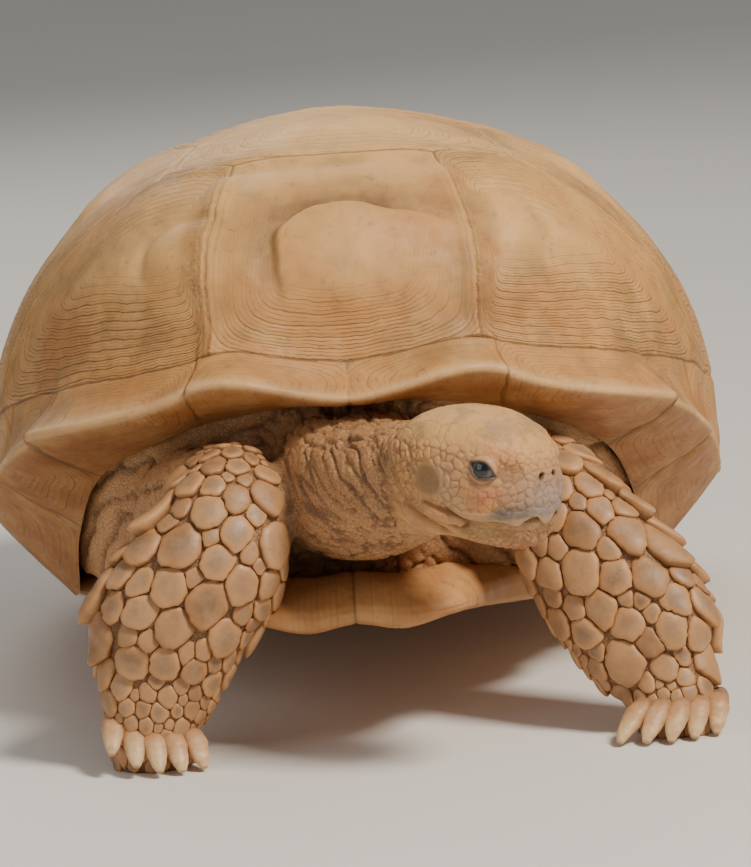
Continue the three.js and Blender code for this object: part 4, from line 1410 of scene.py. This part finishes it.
def limb_frame(points, stations):
    """Place along a limb, degrees round it (0 front, 90 outer side), and the way down it."""
    st = np.array(stations, float)
    place = near_path(points, stations, 60)[1]
    centre = spline(st[:, :3], place)
    down = unit(spline(st[:, :3], np.clip(place + 0.02, 0, 1))
                - spline(st[:, :3], np.clip(place - 0.02, 0, 1)))
    outer = np.array([np.sign(st[0, 0]) or 1.0, 0, 0])
    front = unit(np.array([0, -1.0, 0]) - down * down[:, 1:2] * -1)
    outer = unit(outer - down * (down @ outer)[:, None])
    arm = points - centre
    return place, np.degrees(np.arctan2((arm * outer).sum(axis=1), (arm * front).sum(axis=1))), down


def plate_size(limb, place, round_):
    """Width of a limb's scales in mm at each place along and round it."""
    away = np.abs(round_)
    if limb.endswith("arm"):
        front = 9.5 + 14.5 * smooth(128, 92, away) - 6 * smooth(-50, -95, round_)
        return (front * (0.62 + 0.38 * smooth(0.02, 0.3, place))
                + 4 * bell(round_ - 84, 26) * smooth(0.1, 0.35, place))
    if limb.endswith("hand"):
        return (7.5 + 6.5 * smooth(110, 60, away) * smooth(0.7, 0.3, place)
                + 3.5 * bell(round_ - 70, 30))
    if limb.endswith("shank"):
        return 9.0 + 6.0 * smooth(120, 50, away) * smooth(0.1, 0.4, place)
    return np.full(len(place), 8.5)


def scatter_plates(spots, widths, seed):
    """Pick spots so that scales of the given widths tile, and small ones fill the gaps left."""
    order = np.random.default_rng(seed).permutation(len(spots))
    kept, sizes = [], []
    for share, closeness in ((1.0, 0.84), (0.52, 0.88)):
        for i in order:
            width = max(widths[i] * share, 6.0)
            if kept:
                near = np.linalg.norm(spots[kept] - spots[i], axis=1)
                if np.any(near < closeness * 0.5 * (width + np.array(sizes))):
                    continue
            kept.append(i)
            sizes.append(width)
    return np.array(kept), np.array(sizes)


PLATE_RINGS = [0.3, 0.56, 0.76, 0.9, 0.975, 1.0]      # shares of a scale's outline
PLATE_ROOT = 1.2                                      # mm that its edge goes into the skin


def scaled_part(limb, here, angle):
    """Which points of a limb carry scales: an upper arm has none on its inner side."""
    if not limb.endswith("arm"):
        return here > -1
    outer = angle > np.interp(here, [0.34, 0.62, 0.68], [-48, -100, -200])
    return outer & ((angle < 150) | (here > 0.34))


def build_plates(name, limbs, tree, skin_points, skin_normals, seed):
    """Scales of one limb as one mesh of closed plates, domed, with their lower edge lifted."""
    rng = np.random.default_rng(seed)
    ratios = np.stack([near_path(skin_points, LEGS[limb])[0] for limb in limbs], axis=1)
    nearest = ratios.argmin(axis=1)
    others = [near_path(skin_points, LEGS[limb])[0] for limb in LEGS if limb not in limbs]
    use = ((ratios.min(axis=1) < 1.3) & (skin_points[:, 2] > 4)
           & (ratios.min(axis=1) < np.min(others, axis=0) + 0.1))
    spots, normals, widths, place, round_, down, layer = [], [], [], [], [], [], []
    for k, limb in enumerate(limbs):
        mine = np.flatnonzero(use & (nearest == k))
        here, angle, way = limb_frame(skin_points[mine], LEGS[limb])
        seen = scaled_part(limb, here, angle)
        mine, here, angle, way = mine[seen], here[seen], angle[seen], way[seen]
        spots.append(skin_points[mine])
        normals.append(skin_normals[mine])
        place.append(here)
        round_.append(angle)
        down.append(way)
        widths.append(plate_size(limb, here, angle)
                      * (1 + 0.42 * noise(skin_points[mine], 21, seed + 3)))
        layer.append(np.full(len(mine), k))
    spots, normals, down = np.vstack(spots), np.vstack(normals), np.vstack(down)
    widths, place, round_, layer = (np.concatenate(v) for v in (widths, place, round_, layer))
    kept, sizes = scatter_plates(spots, widths, seed)
    spots, normals, down = spots[kept], normals[kept], down[kept]
    place, round_, layer = place[kept], round_[kept], layer[kept]
    arms = np.array([limb.endswith("arm") for limb in limbs])[layer]
    spiked = arms * bell(round_ - 84, 24) * smooth(0.1, 0.3, place) * smooth(12, 20, sizes)
    verts, quads, tris, tints, patches, total = [], [], [], [], [], 0
    for i in range(len(spots)):
        big = sizes[i]
        n = unit(normals[i])
        low = unit(down[i] - n * (down[i] @ n) + 0.12 * rng.normal(size=3))
        low = unit(low - n * (low @ n))
        side = np.cross(n, low)
        off = spots - spots[i]
        gap = np.linalg.norm(off, axis=1)
        near = np.flatnonzero((gap > 0) & (gap < 0.85 * (big + sizes) + 3) & (normals @ n > -0.1))
        stretch = 1.12 + 0.3 * spiked[i]
        flat = np.stack([off[near] @ low / stretch, off[near] @ side], axis=1)
        ahead = unit(flat)
        level = np.linalg.norm(off[near] - (off[near] @ n)[:, None] * n, axis=1)
        reach = gap[near] * np.linalg.norm(flat, axis=1) / np.maximum(level, 1e-6)
        reach = reach * big / (big + sizes[near]) - 0.08
        count = 26 if big > 15 else 18 if big > 10.5 else 12
        angle = np.linspace(0, 2 * math.pi, count, endpoint=False)
        way = np.stack([np.cos(angle), np.sin(angle)], axis=1)
        facing = np.clip(way @ ahead.T, 0, None) / np.maximum(reach, 1.2)
        power = 9.0
        edge = ((facing ** power).sum(axis=1) + (1 / (0.66 * big)) ** power) ** (-1 / power)
        toward = way[:, 0]
        edge = edge * (1 + (0.14 + 0.3 * spiked[i]) * np.clip(toward, 0, 1) ** 3)
        edge = edge * (1 + 0.03 * rng.normal(size=count))
        dome_up = 0.4 + 0.088 * big
        lift = (0.125 + 0.07 * spiked[i]) * big * (1.15 if arms[i] else 0.75)
        rings = []
        for f in PLATE_RINGS:
            local = (way * np.array([stretch, 1])) * (edge * f)[:, None]
            slope = 0.5 + 0.5 * np.clip(local[:, 0] / (0.5 * big), -1, 1.6)
            rings.append((local, 0.5 + dome_up * math.sqrt(max(0.0, 1 - f ** 3))
                          + lift * slope ** 1.4))
        rings.append((local * 0.985, np.full(count, -PLATE_ROOT)))
        made = [spots[i] + n * (0.5 + dome_up + lift * 0.5 ** 1.4)]
        for local, rise in rings:
            flat_points = spots[i] + local[:, :1] * low + local[:, 1:] * side
            for q, up in zip(flat_points, rise):
                found, facing_n = tree.find_nearest(Vector(q))[:2]
                blend_n = unit(np.array(facing_n) + 1.2 * n)
                made.append(np.array(found) + blend_n * up)
        made.append(spots[i] - n * 1.4)
        rows = len(rings)
        base = total + 1
        c = np.arange(count)
        d = (c + 1) % count
        for r in range(rows - 1):
            quads.append(np.stack([base + r * count + c, base + (r + 1) * count + c,
                                   base + (r + 1) * count + d, base + r * count + d], axis=1))
        last = total + 1 + rows * count
        tris.append(np.stack([np.full(count, total), base + c, base + d], axis=1))
        end = base + (rows - 1) * count
        tris.append(np.stack([np.full(count, last), end + d, end + c], axis=1))
        made = np.array(made)
        made[:, 2] = np.maximum(made[:, 2], LOWEST)
        verts.append(made)
        tone = rng.random()
        grey = rng.random()
        spread = np.concatenate([[0], np.repeat(PLATE_RINGS + [1.15], count), [1.2]])
        worn = mix(linear(170, 122, 80), linear(138, 108, 80), grey)
        rim = mix(linear(174, 118, 70), linear(200, 146, 92), tone)
        worn, rim = worn * (0.66 + 0.4 * tone), rim * (0.7 + 0.35 * grey)
        tint = mix(worn, rim, smooth(0.3, 1.0, spread)[:, None])
        # each scale's wall darkens towards its root: partly the skin's dark tone, partly painted
        # shade in the gaps between scales
        tints.append(painted(tint.shape, tint, ((84, 54, 36), 0.85 * smooth(0.985, 1.1, spread))))
        root = np.array([(layer[i] + (round_[i] + 180) / 360) / len(limbs), 0.02 + 0.96 * place[i]])
        around = np.concatenate([[[0, 0]], np.tile(way, (rows, 1)), [[0, 0]]])
        patches.append(root + around * (0.0015 * np.minimum(spread, 1))[:, None])
        total += len(made)
    obj = new_object(name, to_scene(np.vstack(verts)),
                     [np.concatenate(quads), np.concatenate(tris)])
    colour_layer(obj, "tint", np.vstack(tints))
    loops = read(obj.data.loops, "vertex_index", 1, np.int32)
    chart = obj.data.uv_layers.new(name="OFBake")
    chart.data.foreach_set("uv", np.vstack(patches)[loops].astype(np.float32).ravel())
    return obj


def scale_material():
    n = Nodes("limb_scales")
    tint = n.attribute("tint")[1]
    dust = n.ramp(n.noise(60.0, 5.0, 0.65), 0.32, 0.7)
    colour = n.stain(tint, dust, 0.35, (212, 164, 114))
    dirt = n.ramp(n.noise(140.0, 4.0, 0.7), 0.55, 0.76)
    colour = n.stain(colour, dirt, 0.35, (108, 76, 48))
    relief = n.math("ADD", n.math("MULTIPLY", n.noise(800.0, 4.0, 0.65), 0.2),
                    n.math("MULTIPLY", n.noise(190.0, 4.0), 0.7))
    rough = n.ramp(n.noise(80.0, 3.0), 0.3, 0.7, 0.42, 0.62)
    return n.finish(colour, rough, n.bump(relief, 0.0007, 0.7))


# ------------------------------------------------------------------ eyes, beak, claws, spurs
def build_eye(name, mirror):
    rows, columns = 56, 96
    turn_of = np.linspace(0, 2 * math.pi, columns, endpoint=False)
    away = np.linspace(0, math.pi, rows)[1:-1]
    local = np.stack([
        np.cos(away)[:, None] * EYE_AXIS
        + np.sin(away)[:, None] * (math.cos(a) * EYE_LONG + math.sin(a) * EYE_TALL)
        for a in turn_of
    ], axis=1)
    swell = 1 + 0.05 * bell(np.degrees(away), 34)[:, None, None]
    grid = EYE_SEAT + local * swell * EYE_RADIUS
    verts, faces = closed_form(grid)
    degrees = np.concatenate([np.repeat(np.degrees(away), columns), [0, 180]])
    verts = verts * np.array([1, mirror, 1])
    obj = new_object(name, to_scene(set_head(verts)), list(faces))
    if mirror < 0:
        obj.data.flip_normals()
    swirl = np.concatenate([np.tile(np.cos(7 * turn_of) * 0.5 + np.cos(17 * turn_of) * 0.5,
                                    rows - 2), [0, 0]])
    # pupil, iris and its fibres, the dark ring round it, the white of the eye
    colour_layer(obj, "tint", painted(
        verts.shape, (8, 8, 9),
        ((62, 62, 60), smooth(21, 25, degrees)),
        ((104, 106, 104), 0.5 * bell(degrees - 33, 5) * (0.7 + 0.3 * swirl)),
        ((24, 22, 24), smooth(40, 44, degrees)),
        ((150, 156, 164), smooth(47, 52, degrees)),
    ))
    return obj


def eye_material():
    n = Nodes("wet_eye")
    tint = n.attribute("tint")[1]
    veins = n.ramp(n.noise(900.0, 3.0), 0.55, 0.8)
    colour = n.stain(tint, veins, 0.25, (60, 44, 40))
    return n.finish(colour, 0.12, None, Coat_Weight=1.0, Coat_Roughness=0.03, IOR=1.38)


def head_shell_tree():
    rings = head_rings(sides=120, steps=80)
    rings = in_head(rings.reshape(-1, 3)).reshape(rings.shape)
    verts, faces = closed_form(rings)
    return BVHTree.FromPolygons(verts.tolist(), [f for part in faces for f in part.tolist()])


def head_hit(around_tree, degrees, z):
    """The head's smooth surface seen level outwards from its middle, and its normal there."""
    a = math.radians(degrees)
    way = Vector((math.cos(a), math.sin(a), 0))
    hit, normal, _, _ = around_tree.ray_cast(Vector((JAW_MIDDLE, 0, z)) + way * 90, -way)
    return np.array(hit), np.array(normal if normal.dot(way) > 0 else -normal)


def beak_sheet(name, tree, degrees, tops, bottoms, rows, offset, thick, teeth, seed):
    """A horn sheath on the jaw: an outer face, a cutting edge and an inner face."""
    around_tree = head_shell_tree()
    rng = np.random.default_rng(seed)

    def on_skin(angle, z):
        way = np.array([math.cos(math.radians(angle)), math.sin(math.radians(angle)), 0])
        middle = np.array([JAW_MIDDLE, 0, z])
        ends = set_head(np.array([middle + way * 56, middle]))
        hit = tree.ray_cast(Vector(ends[0]), Vector(unit(ends[1] - ends[0])))[0]
        return in_head(np.array(hit))

    outer, normals = [], []
    jag = np.interp(degrees, np.linspace(-120, 120, 81), rng.normal(size=81))
    down = np.linspace(0, 1, rows)
    for k, angle in enumerate(degrees):
        notch = teeth * (0.5 + 0.5 * math.sin(angle * 1.35 + jag[k])) * 0.6
        lip = np.interp(abs(angle), LIP_ANGLE, LIP_LINE) + 1.6
        column, facing = [], []
        for f in down:
            z = mix(tops[k], bottoms[k] - notch, f)
            plain, normal = head_hit(around_tree, angle, z)
            if name == "upper_beak" and z < lip:
                plain = on_skin(angle, lip) + plain - head_hit(around_tree, angle, lip)[0]
            else:
                plain = on_skin(angle, z)
            column.append(plain)
            facing.append(normal)
        outer.append(column)
        normals.append(facing)
    outer, normals = np.array(outer), np.array(normals)
    for k in range(24):
        outer[1:-1] = 0.25 * outer[:-2] + 0.5 * outer[1:-1] + 0.25 * outer[2:]
        if k % 6 == 0:
            outer[:, 1:-1] = 0.25 * outer[:, :-2] + 0.5 * outer[:, 1:-1] + 0.25 * outer[:, 2:]
    spread = np.stack([degrees[:, None] * 1.1 + down * 0, outer[..., 2] * 0.5,
                       down + 0 * degrees[:, None]], axis=-1)
    ridge = (0.16 * noise(spread, 2.6, seed)
             + 0.22 * noise(spread * np.array([0.3, 2, 1]), 2.0, seed + 1))
    side_end = abs(degrees).max()
    rise = smooth(0, 0.4, down) * smooth(side_end, side_end - 12, abs(degrees))[:, None]
    out = mix(-0.9, offset, rise) + ridge * rise - 0.4 * smooth(0.93, 1.0, down)
    outer = outer + normals * out[..., None]
    inward = unit(outer[:, -1] * np.array([0, 0, 1]) + np.array([JAW_MIDDLE, 0, 0]) - outer[:, -1])
    edge = [outer[:, -1] + inward * thick * step + np.array([0, 0, up])
            for step, up in ((0.5, -0.25), (1.0, 0.35))]
    inner = [outer[:, j] - normals[:, j] * (thick + 1.2) for j in (rows // 2, 0)]
    grid = np.stack([outer[:, j] for j in range(rows)] + edge + inner)
    shades = np.repeat(np.concatenate([down, [1.15, 1.15, 1.3, 1.3]]), len(degrees))
    count, sides = grid.shape[:2]
    i = np.arange(sides - 1)
    around_rows = [np.stack([r * sides + i, r * sides + i + 1, (r + 1) % count * sides + i + 1,
                             (r + 1) % count * sides + i], axis=1) for r in range(count)]
    ends = [np.arange(count) * sides, (np.arange(count) * sides + sides - 1)[::-1]]
    verts = grid.reshape(-1, 3)
    obj = new_object(name, to_scene(set_head(verts)), [np.concatenate(around_rows), np.array(ends)])
    turn_faces_out(obj)
    return obj, verts, shades


def build_beaks(tree):
    angle = np.linspace(-104, 104, 209)
    away = np.abs(angle)
    tops = np.interp(away, [0, 40, 75, 90, 104], [-9, -10, -12.5, -14, -11])
    edge = np.interp(away, BEAK_ANGLE, BEAK_EDGE)
    upper, verts, f = beak_sheet("upper_beak", tree, angle, tops, edge, rows=20, offset=0.35,
                                 thick=2.0, teeth=0.5, seed=7)
    fine = noise(verts, 2.6, 132)
    colour_layer(upper, "tint", painted(
        verts.shape, snout_colours(verts, painted(verts.shape, (178, 134, 90))),
        ((186, 144, 92), 0.85 * smooth(0.8, 0.96, f + 0.1 * fine)),
        ((104, 70, 40), 0.75 * smooth(1.02, 1.12, f)),
    ))
    angle = np.linspace(-60, 60, 111)
    away = np.abs(angle)
    tops = np.interp(away, [0, 30, 50, 60], [-29, -28.5, -27, -25])
    edge = np.full(len(angle), -19.5)
    lower, verts, f = beak_sheet("lower_beak", tree, angle, tops, edge, rows=12, offset=0.4,
                                 thick=1.8, teeth=0.0, seed=9)
    fine = noise(verts, 2.4, 133)
    colour_layer(lower, "tint", painted(
        verts.shape, (168, 120, 74), ((128, 90, 54), smooth(0.3, 0.9, f + 0.3 * fine)),
    ))
    return upper, lower


CLAW_LENGTH = 24.0
CLAW_WEAR = (0.0, 0.8, 0.3, 1.0, 0.5)                 # mm worn off each claw of a foot


def build_claws(name, key):
    """One mesh per claw: thick at the root, curved down to a blunt worn tip."""
    start, end, bulge, aim, count, lift = CLAWS[key]
    made = []
    forward = unit(np.array([aim[0], aim[1], 0.0]))
    for i in range(count):
        t = i / (count - 1)
        fan = math.degrees((t - 0.5) * 0.5 * np.sign(end[0] - start[0]))
        way = turn(forward, "Z", fan)
        root = np.array([mix(start[0], end[0], t),
                         mix(start[1], end[1], t) - bulge * math.sin(math.pi * t), 0])
        raised = lift * (1 - t) ** 3
        worn = CLAW_WEAR[i]
        length = (CLAW_LENGTH - worn) * (mix(1.12, 0.72, t) if count == 5 else 1.0)

        def at(along, z):
            return root + way * along + np.array([0, 0, z + raised])

        stations = [(*at(-10, 22), 12.4, 11.0), (*at(-1, 20), 15.0, 13.0), (*at(6, 17), 15.6, 13.0),
                    (*at(length * 0.6, 11.6), 13.0, 10.4),
                    (*at(length * 0.86, 7.0), 9.0 + worn, 7.0),
                    (*at(length - 0.5, 3.8), 5.0 + worn, 4.4)]
        rings = loft(stations, (0, 0, 1), sides=40, steps=34, power=2.15, cap=0.42)
        rows = len(rings)
        place = np.linspace(0, 1, rows)[:, None]
        normal = unit(rings - rings.mean(axis=1, keepdims=True))
        rim = 0.22 * np.sin(place * 46 + 3 * noise(rings, 6, 140 + i)) * smooth(0.9, 0.3, place)
        rough = (0.25 * layers(rings, 5, 150 + i)
                 + 0.18 * noise(rings * np.array([3, 3, 1]), 4, 160 + i))
        rings = rings + normal * (rim + rough)[..., None]
        verts, faces = closed_form(rings)
        verts[:, 2] = np.maximum(verts[:, 2], LOWEST)
        obj = new_object(f"{name}_{i + 1}", to_scene(verts), list(faces))
        shade = np.concatenate([np.repeat(place[:, 0], rings.shape[1]), [0, 1]])
        mottle = layers(verts, 7, 170 + i)
        colour_layer(obj, "tint", painted(
            verts.shape, (184, 130, 84),
            ((222, 184, 136), smooth(0.3, 0.75, shade + 0.2 * mottle)),
            ((176, 122, 84), 0.55 * smooth(0.1, 0.6, mottle)),
            ((112, 82, 60), 0.6 * smooth(0.86, 1.0, shade) + 0.7 * smooth(0.4, 0.2, shade)),
        ))
        made.append(obj)
    return made


def build_spurs(name, side, tree):
    """Conical horn spurs on the back of a thigh, beside the tail, with smaller ones round them."""
    spots = [((150, 300, 86), 34, 10.5), ((122, 300, 78), 28, 9.5), ((172, 300, 70), 17, 8),
             ((136, 300, 60), 15, 7.5), ((104, 300, 66), 14, 7)]
    parts, tints = [], []
    for k, (spot, length, radius) in enumerate(spots):
        ray = Vector((side * spot[0], spot[1] + 80, spot[2]))
        hit, normal, _, _ = tree.ray_cast(ray, Vector((0, -1, 0)))
        if hit is None or hit[1] < 180:
            continue
        root = np.array(hit)
        way = unit(unit(np.array(normal)) * 0.5 + np.array([0.25 * side, 1.0, -0.25]))
        tip = root + way * length + np.array([0, 0, -0.12 * length])
        stations = [(*(root - way * 5), radius * 2, radius * 1.8),
                    (*(root + way * length * 0.3), radius * 1.75, radius * 1.6),
                    (*(root + way * length * 0.68), radius * 1.1, radius),
                    (*tip, radius * 0.36, radius * 0.34)]
        rings = loft(stations, (0, 0, 1), sides=32, steps=24, power=2.0, cap=0.5)
        place = np.linspace(0, 1, len(rings))[:, None]
        normal_out = unit(rings - rings.mean(axis=1, keepdims=True))
        rings = rings + normal_out * (0.3 * layers(rings, 6, 180 + k)
                                      + 0.2 * np.sin(place * 40))[..., None]
        parts.append(closed_form(rings))
        shade = np.concatenate([np.repeat(place[:, 0], rings.shape[1]), [0, 1]])
        tints.append(painted((len(shade), 3), (172, 128, 92),
                             ((212, 180, 142), smooth(0.3, 0.9, shade))))
    verts, faces = joined(parts)
    obj = new_object(name, to_scene(verts), faces)
    colour_layer(obj, "tint", np.vstack(tints))
    return obj


def horn_material(name, gloss):
    n = Nodes(name)
    tint = n.attribute("tint")[1]
    cloud = n.ramp(n.noise(160.0, 4.0, 0.6), 0.3, 0.72)
    colour = n.stain(tint, cloud, 0.3, (206, 170, 128))
    dirt = n.ramp(n.noise(420.0, 4.0, 0.7), 0.52, 0.72)
    colour = n.stain(colour, dirt, 0.3, (92, 66, 46))
    relief = n.math("ADD", n.math("MULTIPLY", n.noise(1100.0, 4.0, 0.65), 0.3),
                    n.math("MULTIPLY", n.noise(330.0, 3.0), 0.7))
    rough = n.ramp(n.noise(200.0, 3.0), 0.3, 0.7, gloss, gloss + 0.16)
    return n.finish(colour, rough, n.bump(relief, 0.0004, 0.7))


# ------------------------------------------------------------------ plastron
PLASTRON = [
    (0, -356, 12, 30), (34, -365, 9, 28), (66, -356, 15, 30), (82, -318, 12, 30),
    (112, -262, 6, 30), (150, -215, 3, 26), (160, -160, 2, 20), (184, -110, 3, 22),
    (207, -50, 0, 20), (214, 80, -3, 20), (202, 126, 0, 24), (152, 168, 2, 20),
    (134, 226, 2, 18), (70, 292, 4, 22), (0, 264, 3, 18),
]
SCOOP = 15.0             # rise of the prow's upper face behind its edge
# Seams across the plastron, from the midline out: where each begins on y, and ends on x, y.
PLASTRON_SEAMS = [(-288, 92, -318), (-214, 170, -196), (-162, 176, -140), (92, 214, 122),
                  (170, 166, 182), (238, 130, 236)]


def build_plastron():
    columns = 720
    s = np.linspace(0, 1, columns, endpoint=False)
    low = spline(mirrored([(p[0], p[1], p[2]) for p in PLASTRON]), s, closed=True)
    high = spline(mirrored([(p[0], p[1], p[3]) for p in PLASTRON]), s, closed=True)

    def ring(source, scale, level, flat):
        q = np.stack([source[:, 0] * scale, (source[:, 1] + 30) * scale - 30, source[:, 2] + level],
                     axis=1)
        q[:, 2] = mix(q[:, 2], 3 if source is low else 15, flat)
        if source is high:
            q[:, 2] += SCOOP * smooth(-215, -300, q[:, 1]) * min(1.0, (1 - scale) / 0.14)
        return q

    keys = [
        ring(low, 0.02, 0, 1), ring(low, 0.5, 0, 0.8), ring(low, 0.86, 0, 0.1),
        ring(low, 0.95, 0.3, 0), ring(low, 0.992, 4.5, 0), ring(low, 0.994, 9, 0),
        ring(high, 0.994, -8, 0), ring(high, 0.985, -3.5, 0), ring(high, 0.93, -0.3, 0),
        ring(high, 0.84, 0, 0.1), ring(high, 0.5, 0, 0.8), ring(high, 0.02, 0, 1),
    ]
    counts = [22, 26, 8, 7, 5, 8, 5, 5, 6, 18, 12]
    rows = []
    for a, b, n in zip(keys, keys[1:], counts):
        rows += [mix(a, b, t) for t in np.linspace(0, 1, n, endpoint=False)]
    rows.append(keys[-1])
    grid = np.array(rows)
    for _ in range(2):
        grid[1:-1] = (grid[:-2] + 2 * grid[1:-1] + grid[2:]) / 4
    x, y = np.abs(grid[..., 0]), grid[..., 1]
    midline = (grid[..., 0] + 3.0 * layers(grid * np.array([0, 1, 0]), 60, 201)
               * smooth(-330, -300, y))
    seam = np.abs(midline)
    for start, out, end in PLASTRON_SEAMS:
        bent = mix(start, end, smooth(0, out, x)) + 1.5 * layers(grid, 30, 202)
        seam = np.minimum(seam, np.abs(y - bent))
    band = np.searchsorted([-300, -210, -155, 105, 178, 238], y.ravel()).reshape(y.shape)
    growth = seam / np.array([4.2, 4.6, 4.0, 6.5, 4.4, 4.2, 4.6])[band]
    under = np.arange(len(rows)) < sum(counts[:6])
    strong = 0.7 * smooth(0.5, 2.5, growth) * smooth(60, 25, seam)
    teeth = growth + 0.25 * layers(grid, 12, 203)
    relief = (strong * 0.5 * (np.abs((teeth % 1) - 0.5) * 2 - 0.5) - 1.1 * bell(seam, 1.3)
              + 0.5 * layers(grid, 40, 204))
    normal = grid_normals(grid)
    if (normal[0, :, 2].mean() > 0) == bool(under[0]):
        normal = -normal
    grid = grid + normal * relief[..., None]
    grid[0] = grid[0] * 0 + grid[0].mean(axis=0)
    grid[-1] = grid[-1] * 0 + grid[-1].mean(axis=0)
    rings = set_shell(grid[1:-1]) + np.array([PLASTRON_ASIDE, 0, 0])
    verts, faces = closed_form(rings)
    obj = new_object("plastron_scutes", to_scene(verts), list(faces))
    turn_faces_out(obj)

    def spread(values):
        inner = values[1:-1].reshape(-1)
        return np.concatenate([inner, [values[0, 0], values[-1, 0]]])

    colour_layer(obj, "tint", painted(
        verts.shape, (206, 148, 90),
        ((172, 112, 62), 0.5 + 0.5 * layers(verts, 60, 205)),
        ((150, 104, 62), 0.3 * bell(spread(seam), 5.0)),
    ))
    for key, values in (("growth", growth), ("strong", strong * 0.3), ("seam", seam)):
        number_layer(obj, key, spread(values))
    return obj


# ------------------------------------------------------------------ the model and its stage
def fit(obj, slot, *nodes):
    """Rides the piece with the whole animal, in place of the nodes named."""
    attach(obj, "root")
    if nodes:
        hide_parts(*nodes)


SCALED_LIMBS = {
    "foreleg_right_scales": ["fore_right_arm", "fore_right_hand"],
    "foreleg_left_scales": ["fore_left_arm", "fore_left_hand"],
    "hindleg_right_scales": ["hind_right_shank"],
    "hindleg_left_scales": ["hind_left_shank"],
}
LIMB_NODES = [f"foreleg_{side}_{part}" for side in ("right", "left") for part in ("upper", "lower")]
LIMB_NODES += [f"hindleg_{side}_{part}" for side in ("right", "left")
               for part in ("thigh", "shank")]
LIMB_NODES += ["forefoot_right", "forefoot_left"]
BOX_GAP = 0.0002                        # metres that the pieces stay inside the solids' box
BOX_EASE = (0.001, 0.001, 0.004)        # metres over which each axis is eased

camera_and_stage()

shell_look = shell_material()
scutes = build_carapace(near=1.25, far=2.3, columns=1152, dome_rows=268)
for piece in scutes:
    piece.data.materials.append(shell_look)
    fit(piece, "shell")
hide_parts("carapace")

skin = build_skin(voxel=0.0032)
skin.data.materials.append(skin_material())
plastron = build_plastron()
plastron.data.materials.append(shell_look)
fit(plastron, "shell", "plastron")

eye_look = eye_material()
for name, mirror in (("eye_right", -1), ("eye_left", 1)):
    ball = build_eye(f"{name}_ball", mirror)
    ball.data.materials.append(eye_look)
    fit(ball, "eye", name)

beak_look = horn_material("beak_horn", gloss=0.4)
tree = skin_tree(skin)
beaks = build_beaks(tree)
for piece in beaks:
    piece.data.materials.append(beak_look)
    fit(piece, "horn")
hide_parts("beak")

claw_look = horn_material("claw_horn", gloss=0.4)
for side in ("right", "left"):
    for key, name in (("fore", "foreclaw"), ("hind", "hindclaw")):
        for i, claw in enumerate(build_claws(f"{name}_{side}_horn", f"{key}_{side}")):
            claw.data.materials.append(claw_look)
            fit(claw, "horn", f"{name}_{side}_{i + 1}")

for side, sign in (("right", -1), ("left", 1)):
    spurs = build_spurs(f"thigh_spurs_{side}", sign, tree)
    spurs.data.materials.append(claw_look)
    fit(spurs, "horn")

skin_points = to_design(vertices_of(skin.data))
skin_normals = normals_of(skin.data)
scale_look = scale_material()
for k, (name, limbs) in enumerate(SCALED_LIMBS.items()):
    piece = build_plates(name, limbs, tree, skin_points, skin_normals, 40 + k)
    piece.data.materials.append(scale_look)
    fit(piece, "skin")
fit(skin, "skin", "trunk", "neck", "head", "tail", "lower_jaw", *LIMB_NODES)

# the last millimetres towards the solids' box are eased, so that nothing leaves it
low_end, high_end = np.array(cad_box[0]) + BOX_GAP, np.array(cad_box[1]) - BOX_GAP
for obj in bpy.data.objects:
    if obj.type == "MESH" and obj.name != "floor" and obj.data.name not in CAD_MESHES:
        points = vertices_of(obj.data)
        for axis, sign in ((0, 1), (0, -1), (1, 1), (1, -1), (2, 1)):
            end, ease = (high_end if sign > 0 else low_end)[axis], BOX_EASE[axis]
            past = (points[:, axis] - end) * sign + ease
            eased = np.where(past > 0, ease * np.tanh(np.maximum(past, 0) / ease), past)
            points[:, axis] = end + sign * (eased - ease)
        put_vertices(obj.data, points)
